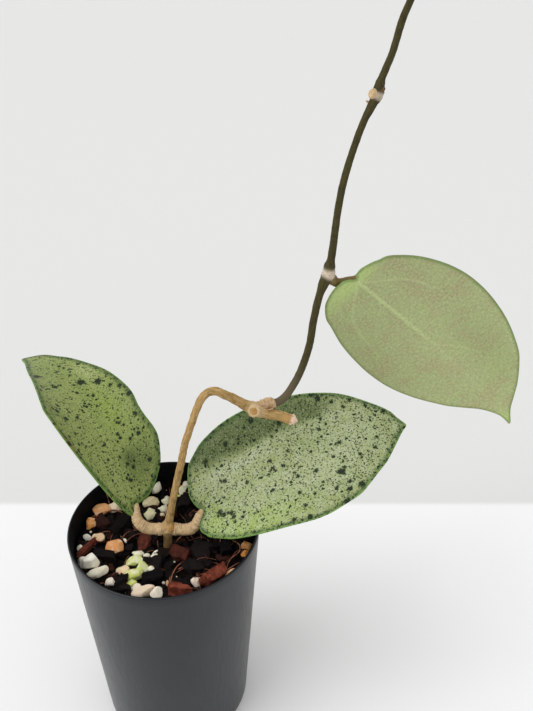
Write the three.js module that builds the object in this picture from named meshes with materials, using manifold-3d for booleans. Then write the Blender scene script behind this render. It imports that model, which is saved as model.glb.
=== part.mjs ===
// A hoya cutting growing in a small deep nursery pot.
// Millimetres, +Z up. The origin is the centre of the pot's flat base, and -Y faces the viewer.

import * as THREE from 'three';
import { mergeVertices } from 'three/addons/utils/BufferGeometryUtils.js';
import Module from 'manifold-3d';

// ---------------------------------------------------------------- driving dimensions

// Pot: thin moulded plastic, 3 inches across the top and 4 inches tall.
const POT_HEIGHT = 101.6;
const POT_TOP_RADIUS = 38.1;
const POT_BASE_RADIUS = 31.2;
const POT_WALL = 1.2;
const POT_FLOOR = 1.8;
const POT_CORNER = 1.6;
const POT_SIDES = 60;
const DRAIN_HOLE_RADIUS = 3;
const DRAIN_HOLE_CIRCLE = 22;
const DRAIN_HOLES = 8;
const DRAIN_HOLE_SIDES = 12;

// Potting mix: bark and pumice, 14 mm below the rim at the stem and heaped towards the wall.
const MIX_TOP = 87.6;
const MIX_HEAP = 4.6;
const MIX_LUMP = 0.9;
const MIX_CLEARANCE = 0.4;
const MIX_RINGS = 4;
const MIX_SIDES = 28;
const STEM_FOOT = 62;

// Stones and bark chips lie with their middles this share of their height above the mix.
const PIECE_LIFT = 0.2;
const STONE_TILT = 20;
const STONE_ROLL = 3;
const BARK_SIDES = 7;
const BARK_TOP_RADIUS = 0.42;
const BARK_BOTTOM_RADIUS = 0.5;

// Pieces that touch keep this gap, and a piece is cut clear of the one it grows from by it.
const GAP = 0.3;

// Leaves: thick and leathery, thinner towards the margin.
const BLADE_THICKNESS = 1.8;
const MARGIN_THICKNESS = 1.1;
const MARGIN_ROUND = 0.35;
const BLADE_ROWS = 22;
const BLADE_COLUMNS = 8;
const CUP_WIDTH = 25;

const STEM_SIDES = 10;
const VINE_SIDES = 10;
const PETIOLE_SIDES = 10;
const STEPS_PER_SPAN = 2;
const BOSS_SIDES = 12;

// ---------------------------------------------------------------- colours and finish

const finishes = {
  pot: { color: 0x3c4246, roughness: 0.45, metalness: 0 },
  mix: { color: 0x2a1d17, roughness: 0.95, metalness: 0 },
  oldStem: { color: 0xa5875a, roughness: 0.75, metalness: 0 },
  petiole: { color: 0xbfa27c, roughness: 0.75, metalness: 0 },
  youngPetiole: { color: 0x84714a, roughness: 0.7, metalness: 0 },
  vine: { color: 0x4b4632, roughness: 0.7, metalness: 0 },
  leafLeft: { color: 0x78844f, roughness: 0.5, metalness: 0 },
  leafRight: { color: 0x858f66, roughness: 0.5, metalness: 0 },
  leafUnderside: { color: 0x9da375, roughness: 0.6, metalness: 0 },
};

// ---------------------------------------------------------------- solids and booleans

const wasm = await Module();
wasm.setup();

function solidOf(geometry) {
  const bare = geometry.clone();
  bare.deleteAttribute('normal');
  bare.deleteAttribute('uv');
  const merged = mergeVertices(bare, 1e-4);
  const mesh = new wasm.Mesh({
    numProp: 3,
    vertProperties: new Float32Array(merged.attributes.position.array),
    triVerts: new Uint32Array(merged.index.array),
  });
  return new wasm.Manifold(mesh);
}

function geometryOf(solid) {
  const mesh = solid.getMesh();
  const geometry = new THREE.BufferGeometry();
  geometry.setAttribute('position', new THREE.BufferAttribute(mesh.vertProperties, 3));
  geometry.setIndex(new THREE.BufferAttribute(mesh.triVerts, 1));
  geometry.computeVertexNormals();
  return geometry;
}

// A small repeatable random number, so that every build gives the same model.
function seededRandom(seed) {
  let state = seed;
  return () => {
    state = (state * 16807) % 2147483647;
    return state / 2147483647;
  };
}

// ---------------------------------------------------------------- rods: stems, vine and petioles

// A rod follows stations [x, y, z, radius] smoothly. `grow` makes it fatter and longer,
// which gives the cutter that keeps its neighbours clear of it.
function rodGeometry(stations, sides, grow) {
  const curve = new THREE.CatmullRomCurve3(stations.map(([x, y, z]) => new THREE.Vector3(x, y, z)));
  const spans = stations.length - 1;
  const steps = spans * STEPS_PER_SPAN;
  const rings = [];
  let side = null;
  for (let step = 0; step <= steps; step += 1) {
    const t = step / steps;
    const span = Math.min(Math.floor(step / STEPS_PER_SPAN), spans - 1);
    const ease = THREE.MathUtils.smoothstep(step / STEPS_PER_SPAN - span, 0, 1);
    const radius = THREE.MathUtils.lerp(stations[span][3], stations[span + 1][3], ease) + grow;
    const tangent = curve.getTangent(t);
    if (side === null) {
      const level = new THREE.Vector3(0, 1, 0);
      side = level.addScaledVector(tangent, -level.dot(tangent)).normalize();
    }
    side = side.clone().addScaledVector(tangent, -side.dot(tangent)).normalize();
    const centre = curve.getPoint(t);
    if (step === 0) centre.addScaledVector(tangent, -grow);
    if (step === steps) centre.addScaledVector(tangent, grow);
    rings.push({ centre, side, other: new THREE.Vector3().crossVectors(side, tangent), radius });
  }
  const geometry = new THREE.CylinderGeometry(1, 1, 1, sides, steps);
  const position = geometry.attributes.position;
  const point = new THREE.Vector3();
  for (let i = 0; i < position.count; i += 1) {
    const ring = rings[Math.round((position.getY(i) + 0.5) * steps)];
    point.copy(ring.centre);
    point.addScaledVector(ring.side, position.getX(i) * ring.radius);
    point.addScaledVector(ring.other, position.getZ(i) * ring.radius);
    position.setXYZ(i, point.x, point.y, point.z);
  }
  return geometry;
}

function rod(stations, sides, grow = 0) {
  return solidOf(rodGeometry(stations, sides, grow));
}

// A round boss that stands on a node of a stem: a scar, a bud or a stub of root. Its middle
// lies `offset` from the node, and it points along `aim`.
function boss(stemNode, { offset, aim, base, tip, height }, grow = 0) {
  const length = height + 2 * grow;
  const geometry = new THREE.CylinderGeometry(tip + grow, base + grow, length, BOSS_SIDES);
  const up = new THREE.Vector3(0, 1, 0);
  const pointing = new THREE.Vector3(...aim).normalize();
  geometry.applyQuaternion(new THREE.Quaternion().setFromUnitVectors(up, pointing));
  geometry.translate(...stemNode.map((value, axis) => value + offset[axis]));
  return solidOf(geometry);
}

// ---------------------------------------------------------------- old stem

// The stem comes up through the mix, carries the two big leaves at its first node,
// arches over, and ends in a cut stub just past its second node.
const LEAF_NODE = [1, 0.5, 98.5];
const OLD_NODE = [36.5, 7.5, 153];
const OLD_STEM_STATIONS = [
  [-0.5, -1.5, STEM_FOOT, 1.4],
  [0, -1, 76, 1.7],
  [0.5, -0.5, 87.5, 1.7],
  [1, 0, 94, 1.8],
  [...LEAF_NODE, 2.5],
  [2, 1, 103, 1.6],
  [4.5, 2, 115, 1.4],
  [8, 3, 130, 1.4],
  [10.2, 3.5, 140, 1.4],
  [13.4, 4, 150, 1.4],
  [15.1, 4.5, 155, 1.45],
  [17.4, 5, 160, 1.5],
  [19.5, 5.2, 162, 1.5],
  [22, 5.5, 162.5, 1.6],
  [26, 6, 160.3, 1.65],
  [30, 7, 157.2, 1.8],
  [33, 7.3, 154.8, 2.05],
  [...OLD_NODE, 2.8],
  [41.3, 8, 150.6, 2.2],
  [46, 8, 149.4, 2],
  [50.3, 8, 147.5, 1.8],
  [51.5, 8, 147, 1.3],
  [52.5, 8, 146.5, 0.6],
];
const SCAR_DIRECTION = [-0.1, -0.84, 0.3];
const OLD_SCAR = { offset: [-0.2, -1.9, 0.7], aim: SCAR_DIRECTION, base: 2.5, tip: 1.9, height: 2.6 };
const OLD_SCAR_PLUG = { offset: [-0.3, -3, 1.1], aim: SCAR_DIRECTION, base: 1.2, tip: 0.9, height: 1.2 };
const SHOOT_COLLAR_STATIONS = [
  [37, 8, 153, 1.9],
  [39.5, 9, 153.5, 2.15],
  [41.3, 9.5, 153.6, 1.9],
  [42.6, 10, 153.6, 2.15],
  [44, 10.5, 153.6, 1.85],
];

function oldStemSolid(grow = 0) {
  const stem = rod(OLD_STEM_STATIONS, STEM_SIDES, grow);
  const collar = rod(SHOOT_COLLAR_STATIONS, STEM_SIDES, grow);
  const scar = boss(OLD_NODE, OLD_SCAR, grow);
  const scarPlug = boss(OLD_NODE, OLD_SCAR_PLUG, grow);
  return stem.add(collar).add(scar).add(scarPlug);
}

// ---------------------------------------------------------------- vine

// The new shoot leaves the old node, climbs past two nodes and ends in a soft growing tip.
const VINE_NODE_1 = [62.5, 20.3, 202.3];
const VINE_NODE_2 = [76, 27, 263];
const VINE_NODE_3 = [93.5, 36, 318.5];
const VINE_STATIONS = [
  [42.5, 10, 153.5, 1.5],
  [45.5, 11.5, 153.5, 1.55],
  [48, 13, 154.9, 1.5],
  [51.5, 14.8, 160, 1.45],
  [53.8, 16, 165, 1.4],
  [56.6, 17.3, 175, 1.35],
  [57.8, 17.9, 185, 1.35],
  [59.7, 18.9, 195, 1.35],
  [61.2, 19.6, 199.6, 1.9],
  [...VINE_NODE_1, 2.4],
  [62.9, 20.4, 205.5, 2],
  [63.3, 20.7, 208, 1.4],
  [64, 21, 215, 1.3],
  [64.8, 21.4, 225, 1.25],
  [66.2, 22, 235, 1.25],
  [68.7, 23.3, 245, 1.2],
  [72.1, 25, 255, 1.2],
  [74.6, 26.3, 260, 1.5],
  [...VINE_NODE_2, 2.05],
  [76.8, 27.4, 266.5, 1.6],
  [77.4, 27.7, 268.5, 1.2],
  [80, 29, 275, 1.15],
  [82.6, 30.3, 285, 1.15],
  [85, 31.5, 291, 1.1],
  [88, 33, 301, 1.05],
  [91, 34.5, 311, 1.05],
  [...VINE_NODE_3, 1.6],
  [94.8, 36.5, 322, 0.95],
  [97, 37.5, 328, 0.8],
  [100, 39, 333.6, 0.5],
];

const VINE_SCAR = { offset: [-1.2, -0.9, 0.5], aim: [-0.8, -0.6, 0.15], base: 1.7, tip: 1.2, height: 2.6 };
const VINE_BUD = { offset: [1.2, -0.4, 1.7], aim: [1, -0.2, 0.5], base: 1.4, tip: 0.8, height: 2.4 };
const ROOT_STUB = { offset: [-2.3, -0.3, -2.4], aim: [-1, -0.1, 0.5], base: 0.6, tip: 0.4, height: 2.6 };

function vineSolid(grow = 0) {
  let vine = rod(VINE_STATIONS, VINE_SIDES, grow);
  for (const shape of [VINE_SCAR, VINE_BUD, ROOT_STUB]) vine = vine.add(boss(VINE_NODE_2, shape, grow));
  return vine;
}

// ---------------------------------------------------------------- petioles

// Each petiole swells where it leaves the stem and ends in a small point that stands up
// in the notch of the leaf.
const PETIOLE_LEFT_STATIONS = [
  [0.5, 0.5, 98, 2.1],
  [-3, 0.5, 98, 2.3],
  [-7, 0.5, 98.5, 2.35],
  [-9, 0.5, 100, 2.3],
  [-10.5, 1.5, 101, 2.25],
  [-11.5, 3, 103, 2],
  [-11.5, 4.5, 105, 1.5],
  [-11, 5.5, 107.3, 0.7],
];
const PETIOLE_RIGHT_STATIONS = [
  [1.5, 0.5, 98, 2.1],
  [5, 0.5, 98, 2.3],
  [7.5, 0.2, 98, 2.35],
  [10, 0.2, 98.4, 2.35],
  [12, 0.5, 99.8, 2.2],
  [13, 1, 101.4, 2.05],
  [13.8, 2, 103.8, 1.6],
  [14.6, 3, 105, 1.2],
  [15, 3.3, 106.2, 0.7],
];
const PETIOLE_UPPER_STATIONS = [
  [62.5, 20.5, 202, 1.75],
  [63.7, 21, 200.6, 1.75],
  [65.2, 21.6, 198.8, 1.7],
  [67.5, 22.5, 198, 1.6],
  [70, 22.3, 199, 1.35],
  [72, 21, 200.5, 1],
  [72.8, 20.3, 202, 0.6],
];

// ---------------------------------------------------------------- leaves

// A leaf is drawn flat, in millimetres [across, along] from the end of its petiole, and laid
// on a curved surface between its base and its tip. `roll` turns it about that line.
// `arch` lifts its middle, `cup` lifts its sides, and `lobeDrop` bends the lobes down.
const leaves = {
  leaf_left: {
    base: [-12.2, 5.0, 106.4],
    tip: [-69.2, 70.0, 133.6],
    roll: -10,
    arch: 15,
    cup: 12,
    lobeDrop: 0,
    midrib: [[0, 0], [-0.6, 25], [-0.4, 45], [0.5, 65], [1.5, 80], [0.9, 91.3]],
    near: [[-0.6, -1.2], [-1.5, -2], [-3, -2.2], [-4.9, -0.5], [-7.1, 2.2], [-12.1, 10.2], [-16.9, 20.2],
      [-20.1, 30], [-21.3, 40], [-20.1, 44.8], [-15.9, 54.8], [-11.6, 64.8], [-7.4, 74.8],
      [-2.1, 84.8], [-0.5, 89], [0.5, 91.2]],
    far: [[1, 0.4], [4, 0.6], [7.4, 1.2], [10, 2.5], [12.7, 4.8], [15.8, 8.4], [17.5, 12.3], [18.8, 17],
      [18.8, 21], [18.1, 27], [18, 32], [18.7, 38], [18.3, 45], [16.9, 55], [14.3, 65], [11.7, 75],
      [9.9, 80], [8.6, 85], [6.7, 88.4], [3.5, 90.7], [1.4, 91.4]],
  },
  leaf_right: {
    base: [15.4, 3.0, 105.0],
    tip: [95.7, 20.0, 135.6],
    roll: -25,
    arch: 8,
    cup: 6,
    lobeDrop: 0,
    midrib: [[0, 0], [0.6, 15], [0.8, 35], [0.4, 60], [0.1, 88]],
    near: [[-1.3, 0.3], [-2.2, -0.9], [-3.5, -1.7], [-6, -2.7], [-8.7, -3.1], [-11, -2.7], [-14, -1.7],
      [-18, 0.3], [-20, 2.2], [-21.8, 5.2], [-24.2, 10.1], [-26.4, 20], [-27, 30], [-26.5, 40],
      [-24.8, 51], [-22.6, 60], [-18.8, 69.8], [-11.6, 79.7], [-7.2, 84.2], [-4.1, 85.7], [-0.2, 87.9]],
    far: [[0.9, -0.2], [1.9, -1.4], [3.6, -2.8], [5.8, -3.2], [7.5, -2.7], [9, -1.7], [11.4, 0.2],
      [14.8, 5.2], [17.6, 10.2], [20.9, 20], [23.2, 30], [25.3, 40], [25.7, 45], [25.2, 50],
      [22.7, 60], [19.8, 64.8], [16.2, 69.8], [12.6, 74.8], [7.7, 79.8], [2.7, 84.8], [0.2, 87.9]],
  },
  leaf_upper: {
    base: [72.4, 20.0, 200.7],
    tip: [137.1, 20.0, 137.6],
    roll: 90,
    arch: 8,
    cup: 3,
    lobeDrop: 4,
    midrib: [[0, 0], [-0.5, 10], [-0.5, 30], [0, 50], [0, 75], [-0.5, 90.9]],
    near: [[-0.9, -0.4], [-2, -1.7], [-3.6, -2.8], [-6.5, -3], [-8.6, -2.7], [-11.5, -1.7], [-14.9, 0.3],
      [-18.9, 5.2], [-20.9, 10.2], [-24.7, 20], [-27, 30], [-27.9, 40], [-26.7, 50], [-22.6, 59.8],
      [-15.6, 69.7], [-10.6, 74.7], [-5.3, 79.7], [-1.8, 84.9], [-0.9, 88], [-0.8, 90.8]],
    far: [[1.1, -1.2], [3.5, -1.8], [5.4, -1.6], [8.4, -0.7], [10.4, 0.3], [14.2, 2.2], [19.6, 10],
      [23.7, 20], [26.2, 30], [27.1, 40], [26.6, 50], [24.7, 60], [20.9, 70], [17.4, 74.8],
      [12.4, 79.7], [8.3, 82.7], [4, 85.7], [1.9, 87.8], [-0.2, 90.5]],
  },
};

function leafFrame({ base, tip, roll }) {
  const origin = new THREE.Vector3(...base);
  const along = new THREE.Vector3(...tip).sub(origin);
  const length = along.length();
  along.normalize();
  const level = new THREE.Vector3().crossVectors(along, new THREE.Vector3(0, 0, 1)).normalize();
  const upright = new THREE.Vector3().crossVectors(level, along);
  const turn = THREE.MathUtils.degToRad(roll);
  const across = level.clone().multiplyScalar(Math.cos(turn)).addScaledVector(upright, Math.sin(turn));
  const face = level.clone().multiplyScalar(-Math.sin(turn)).addScaledVector(upright, Math.cos(turn));
  return { origin, along, across, face, length };
}

function leafHeight(leaf, length, x, y) {
  const t = y / length;
  const lobe = Math.max(0, 1 - t) ** 5;
  const side = (x / CUP_WIDTH) ** 2;
  return leaf.arch * 4 * t * (1 - t) + leaf.cup * side - leaf.lobeDrop * side * lobe;
}

// The same triangles cover the upper face and the underside, so they never cross.
function leafSolid(leaf) {
  const frame = leafFrame(leaf);
  const curveThrough = (points) => new THREE.SplineCurve(points.map(([x, y]) => new THREE.Vector2(x, y)));
  const midrib = curveThrough(leaf.midrib);
  const margins = [curveThrough(leaf.near), curveThrough(leaf.far)];
  const place = ([x, y], lift) => {
    const height = leafHeight(leaf, frame.length, x, y) + lift;
    return frame.origin.clone()
      .addScaledVector(frame.along, y)
      .addScaledVector(frame.across, x)
      .addScaledVector(frame.face, height);
  };
  const flatPoint = (u, v) => {
    const middle = midrib.getPointAt(v);
    const edge = margins[u < 0 ? 0 : 1].getPointAt(v);
    const bare = middle.lerp(edge, Math.abs(u));
    return [bare.x, bare.y];
  };
  const grid = new THREE.PlaneGeometry(2, 1, BLADE_COLUMNS, BLADE_ROWS);
  const spot = grid.attributes.position;
  const positions = [];
  const addPoint = (point) => {
    positions.push(point.x, point.y, point.z);
    return positions.length / 3 - 1;
  };
  for (const faceSign of [1, -1]) {
    for (let i = 0; i < spot.count; i += 1) {
      const u = spot.getX(i);
      const v = spot.getY(i) + 0.5;
      const thickness = THREE.MathUtils.lerp(BLADE_THICKNESS, MARGIN_THICKNESS, u * u);
      addPoint(place(flatPoint(u, v), faceSign * thickness / 2));
    }
  }
  const faces = [];
  const grown = grid.index.array;
  for (let i = 0; i < grown.length; i += 3) {
    faces.push(grown[i], grown[i + 1], grown[i + 2]);
    faces.push(grown[i] + spot.count, grown[i + 2] + spot.count, grown[i + 1] + spot.count);
  }
  // Round the margin: one row of points stands a little outside the two faces.
  const columns = BLADE_COLUMNS + 1;
  const border = [];
  for (let column = 0; column < BLADE_COLUMNS; column += 1) border.push(column);
  for (let row = 0; row < BLADE_ROWS; row += 1) border.push(row * columns + BLADE_COLUMNS);
  for (let column = BLADE_COLUMNS; column > 0; column -= 1) border.push(BLADE_ROWS * columns + column);
  for (let row = BLADE_ROWS; row > 0; row -= 1) border.push(row * columns);
  const rim = border.map((index, i) => {
    const flat = flatPoint(spot.getX(index), spot.getY(index) + 0.5);
    const before = border[(i + border.length - 1) % border.length];
    const after = border[(i + 1) % border.length];
    const from = flatPoint(spot.getX(before), spot.getY(before) + 0.5);
    const to = flatPoint(spot.getX(after), spot.getY(after) + 0.5);
    const out = new THREE.Vector2(from[1] - to[1], to[0] - from[0]).setLength(MARGIN_ROUND);
    return addPoint(place([flat[0] + out.x, flat[1] + out.y], 0));
  });
  border.forEach((top, i) => {
    const next = (i + 1) % border.length;
    const bottom = top + spot.count;
    const nextTop = border[next];
    const nextBottom = nextTop + spot.count;
    faces.push(top, nextTop, rim[i], nextTop, rim[next], rim[i]);
    faces.push(rim[i], rim[next], bottom, rim[next], nextBottom, bottom);
  });
  const geometry = new THREE.BufferGeometry();
  geometry.setAttribute('position', new THREE.Float32BufferAttribute(positions, 3));
  geometry.setIndex(faces);
  return solidOf(geometry);
}

// ---------------------------------------------------------------- pot

// The radius of the pot's outside at a height: it tapers evenly to the base.
function potRadius(z) {
  return THREE.MathUtils.mapLinear(z, 0, POT_HEIGHT, POT_BASE_RADIUS, POT_TOP_RADIUS);
}

function potSolid() {
  const lip = POT_WALL / 2;
  const profile = [
    [0, 0],
    [potRadius(0) - POT_CORNER, 0],
    [potRadius(POT_CORNER / 2) - POT_CORNER / 4, POT_CORNER / 4],
    [potRadius(POT_CORNER), POT_CORNER],
    [potRadius(POT_HEIGHT - lip), POT_HEIGHT - lip],
    [potRadius(POT_HEIGHT) - lip / 2, POT_HEIGHT],
    [potRadius(POT_HEIGHT) - POT_WALL + lip / 2, POT_HEIGHT],
    [potRadius(POT_HEIGHT - lip) - POT_WALL, POT_HEIGHT - lip],
    [potRadius(POT_FLOOR) - POT_WALL, POT_FLOOR],
    [0, POT_FLOOR],
  ].map(([radius, z]) => new THREE.Vector2(radius, z));
  const shell = new THREE.LatheGeometry(profile, POT_SIDES);
  shell.rotateX(Math.PI / 2);
  let pot = solidOf(shell);
  for (let hole = 0; hole < DRAIN_HOLES; hole += 1) {
    const angle = (hole / DRAIN_HOLES) * 2 * Math.PI;
    const radius = DRAIN_HOLE_RADIUS;
    const drill = new THREE.CylinderGeometry(radius, radius, 4 * POT_FLOOR, DRAIN_HOLE_SIDES);
    drill.rotateX(Math.PI / 2);
    drill.translate(DRAIN_HOLE_CIRCLE * Math.cos(angle), DRAIN_HOLE_CIRCLE * Math.sin(angle), 0);
    pot = pot.subtract(solidOf(drill));
  }
  return pot;
}

// ---------------------------------------------------------------- potting mix

// The gentle lumps of the mix, as a height above its mean level.
function mixLump(x, y) {
  const broad = Math.sin(x * 0.31 + 0.6) * Math.cos(y * 0.27 - 0.4);
  const fine = 0.5 * Math.sin(x * 0.63 - y * 0.55);
  return MIX_LUMP * (broad + fine);
}

// The mix ends just short of the wall.
function mixRadius(z) {
  return potRadius(z) - POT_WALL - MIX_CLEARANCE;
}

// The mean height of the mix: a shallow dish, lowest at the stem.
function mixLevel(x, y) {
  const share = Math.min(Math.hypot(x, y) / mixRadius(MIX_TOP + MIX_HEAP), 1);
  return MIX_TOP + MIX_HEAP * share ** 2;
}

function mixBody() {
  const floor = POT_FLOOR + GAP;
  const profile = [new THREE.Vector2(0, floor), new THREE.Vector2(mixRadius(floor) - 1, floor)];
  profile.push(new THREE.Vector2(mixRadius(floor + 1), floor + 1));
  const wallTop = MIX_TOP + MIX_HEAP;
  for (let ring = MIX_RINGS; ring >= 0; ring -= 1) {
    profile.push(new THREE.Vector2(mixRadius(wallTop) * (ring / MIX_RINGS), wallTop));
  }
  const geometry = new THREE.LatheGeometry(profile, MIX_SIDES);
  geometry.rotateX(Math.PI / 2);
  const position = geometry.attributes.position;
  for (let i = 0; i < position.count; i += 1) {
    if (position.getZ(i) > MIX_TOP) {
      const x = position.getX(i);
      const y = position.getY(i);
      const calm = Math.hypot(x, y) > mixRadius(wallTop) - 1 ? 0 : 1;
      position.setZ(i, mixLevel(x, y) + calm * mixLump(x, y));
    }
  }
  return solidOf(geometry);
}

// The stones and bark pieces that show on top: [x, y, width, depth, height, turn in degrees].
// Each sits with about a third of its height in the mix. Bark chips have a tilt too.
const STONES = [
  [-29, 16.5, 8.5, 6, 5, 15],
  [-23.5, 19, 6, 6, 5.5, 40],
  [-32, 9.5, 6, 4.5, 4.5, 60],
  [-28, 2.5, 5, 5, 5, 20],
  [-20.5, -3, 7.5, 6.5, 6.5, 70],
  [-34, -4.5, 2.5, 2.5, 3, 0],
  [-31, -12.5, 4, 4.5, 4.5, 30],
  [-28, -12.5, 6.5, 6, 6.5, 50],
  [-25, -16.5, 8.5, 4.5, 5, 30],
  [-18.5, -23, 4, 4, 4.5, 0],
  [-9, -23.5, 4, 4, 4, 15],
  [-6, -25.5, 9, 5, 6, 25],
  [-0.5, -27, 5, 5, 5, -10],
  [-11.5, -9, 7, 5, 5, 20],
  [-15.5, -14, 5, 5, 5, 80],
  [-11, -16.5, 7, 6, 5.5, 15],
  [-8, -12.5, 4.5, 5, 5, 60],
  [-11, -4.5, 4.5, 3, 3, 0],
  [-7.5, -5, 3, 2.5, 2.5, 10],
  [-4.5, -13.5, 3, 3.5, 4, 20],
  [-3.5, -2.5, 4.5, 2, 2.5, 40],
  [-7, 31, 3, 7, 4.5, -20],
  [-9, 23.5, 6.5, 5.5, 5, 20],
  [-8.5, 17, 6, 5.5, 5.5, -15],
  [-3.5, 20, 4.5, 4.5, 4.5, 30],
  [-2.5, 25, 5, 4.5, 4, 0],
  [4.5, 29.5, 4.5, 4.5, 4.5, 20],
  [5.5, 33, 4, 4, 4, 50],
  [13.5, -20, 4, 3.5, 4, -20],
  [27, -18, 5.5, 3.5, 4, 35],
  [33, -3.5, 4, 5, 4.5, 80],
  [32.5, -9, 3, 4, 4, 80],
  [-32, 1.5, 2.5, 4, 4, 70],
  [-4.5, -5.5, 3.5, 2, 2.5, 35],
  [15, -18.5, 2, 2, 2.5, 0],
  [-3.5, 16.5, 2.5, 2, 2.5, 10],
  [3, 26, 2, 3, 3, -15],
];
const BARK = [
  [-9.5, 1, 6, 8, 5, 8, 10],
  [8, -25, 8.5, 4.5, 5.5, 8, -14],
  [20.5, -19.5, 9.5, 5, 9, 40, 24],
  [6, -4.5, 8, 7, 5, -25, 14],
  [-20, 10, 10, 8, 5, 35, -16],
  [-14, 27, 10, 6, 5, -20, 18],
  [5.5, 21.5, 7, 8.5, 6, 10, -12],
  [14.5, -3.5, 10, 8, 5, -30, 10],
  [-12.5, -22, 6, 4, 4, 50, -12],
  [-31.5, -5, 11.5, 2.5, 2.5, 53, 8],
  [15, 29, 9, 5, 4, -40, 14],
  [28, 9, 8, 5, 4, 70, -10],
  [-23.5, -8, 8.5, 5, 5, -8, 6],
  [-3.5, -18.5, 7.5, 6, 5, 10, -8],
  [-3, -10, 5, 6.5, 4, 10, 8],
  [24.5, -3.5, 5, 7, 4.5, 15, -10],
  [-27.5, 10, 5.5, 6, 4, 30, 10],
  [-14.5, -24, 7, 3.5, 3.5, -30, 6],
  [13.5, -12, 5, 6, 4, 20, 12],
];

function onTheMix(geometry, x, y, height, turn, tilt) {
  geometry.rotateX(THREE.MathUtils.degToRad(tilt));
  geometry.rotateZ(THREE.MathUtils.degToRad(turn));
  geometry.translate(x, y, mixLevel(x, y) + mixLump(x, y) + height * PIECE_LIFT);
  return solidOf(geometry);
}

function stone([x, y, width, depth, height, turn], random) {
  const geometry = new THREE.DodecahedronGeometry(1, 0);
  geometry.rotateX(random() * STONE_ROLL);
  geometry.scale(width / 2, depth / 2, height / 2);
  return onTheMix(geometry, x, y, height, turn, (random() - 0.5) * STONE_TILT);
}

function barkPiece([x, y, width, depth, height, turn, tilt]) {
  const geometry = new THREE.CylinderGeometry(BARK_TOP_RADIUS, BARK_BOTTOM_RADIUS, 1, BARK_SIDES);
  geometry.rotateX(Math.PI / 2);
  geometry.scale(width, depth, height);
  return onTheMix(geometry, x, y, height, turn, tilt);
}

// The stones by the wall are cut to the inside of the pot, where they lean on it.
function insideOfPot() {
  const profile = [[0, 0], [mixRadius(0), 0], [mixRadius(POT_HEIGHT), POT_HEIGHT], [0, POT_HEIGHT]];
  const cone = new THREE.LatheGeometry(profile.map(([r, z]) => new THREE.Vector2(r, z)), MIX_SIDES);
  cone.rotateX(Math.PI / 2);
  return solidOf(cone);
}

function mixSolid() {
  const random = seededRandom(29);
  let mix = mixBody();
  for (const spot of STONES) mix = mix.add(stone(spot, random).intersect(insideOfPot()));
  for (const spot of BARK) mix = mix.add(barkPiece(spot).intersect(insideOfPot()));
  return mix.subtract(oldStemSolid(GAP));
}

// ---------------------------------------------------------------- the plant, put together

const plant = new THREE.Group();

function addPiece(name, solid, finish) {
  const mesh = new THREE.Mesh(geometryOf(solid), new THREE.MeshStandardMaterial(finish));
  mesh.name = name;
  plant.add(mesh);
}

const petioles = {
  left: (grow) => rod(PETIOLE_LEFT_STATIONS, PETIOLE_SIDES, grow),
  right: (grow) => rod(PETIOLE_RIGHT_STATIONS, PETIOLE_SIDES, grow),
  upper: (grow) => rod(PETIOLE_UPPER_STATIONS, PETIOLE_SIDES, grow),
};

addPiece('pot', potSolid(), finishes.pot);
addPiece('potting_mix', mixSolid(), finishes.mix);
addPiece('old_stem', oldStemSolid(), finishes.oldStem);
addPiece('vine', vineSolid().subtract(oldStemSolid(GAP)), finishes.vine);
addPiece('petiole_left', petioles.left(0).subtract(oldStemSolid(GAP)), finishes.petiole);
addPiece('petiole_right', petioles.right(0).subtract(oldStemSolid(GAP)), finishes.petiole);
addPiece('petiole_upper', petioles.upper(0).subtract(vineSolid(GAP)), finishes.youngPetiole);
addPiece('leaf_left', leafSolid(leaves.leaf_left).subtract(petioles.left(GAP)), finishes.leafLeft);
addPiece('leaf_right', leafSolid(leaves.leaf_right).subtract(petioles.right(GAP)), finishes.leafRight);
addPiece('leaf_upper', leafSolid(leaves.leaf_upper).subtract(petioles.upper(GAP)), finishes.leafUnderside);

export default plant;
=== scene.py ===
"""A young hoya cutting in a small deep nursery pot: the looks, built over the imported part.

Lengths in the tables are in millimetres and are turned into metres where points are placed.
+Z is up, the origin is the centre of the pot's base, and -Y faces the viewer.
"""

import math
import random
from contextlib import contextmanager

import bpy
import numpy as np
from mathutils import Matrix, Vector, noise


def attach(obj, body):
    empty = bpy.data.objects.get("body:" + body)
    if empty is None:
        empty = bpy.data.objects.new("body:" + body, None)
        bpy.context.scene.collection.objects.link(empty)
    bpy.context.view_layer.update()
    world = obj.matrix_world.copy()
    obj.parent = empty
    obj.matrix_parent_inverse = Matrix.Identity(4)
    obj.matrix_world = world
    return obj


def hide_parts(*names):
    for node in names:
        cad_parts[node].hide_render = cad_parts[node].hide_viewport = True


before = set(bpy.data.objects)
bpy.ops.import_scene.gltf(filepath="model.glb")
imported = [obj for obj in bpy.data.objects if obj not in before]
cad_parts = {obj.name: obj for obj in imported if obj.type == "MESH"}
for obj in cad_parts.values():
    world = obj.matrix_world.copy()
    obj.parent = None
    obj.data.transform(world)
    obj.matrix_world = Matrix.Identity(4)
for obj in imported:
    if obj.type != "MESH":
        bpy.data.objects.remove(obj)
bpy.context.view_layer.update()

MM = 0.001

# ---------------------------------------------------------------- sizes, as in the part's source

POT_HEIGHT = 101.6
POT_TOP_RADIUS = 38.1
POT_BASE_RADIUS = 31.2
POT_WALL = 1.2
POT_FLOOR = 1.8
POT_CORNER = 1.6
DRAIN_HOLE_RADIUS = 3
DRAIN_HOLE_CIRCLE = 22
DRAIN_HOLES = 8

MIX_TOP = 87.6
MIX_HEAP = 4.6
MIX_LUMP = 0.9
MIX_CLEARANCE = 0.4
MIX_FLOOR = 2.1
STEM_FOOT = 62
PIECE_LIFT = 0.2

BLADE_THICKNESS = 1.8
MARGIN_THICKNESS = 1.1
MARGIN_ROUND = 0.35
CUP_WIDTH = 25

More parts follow.
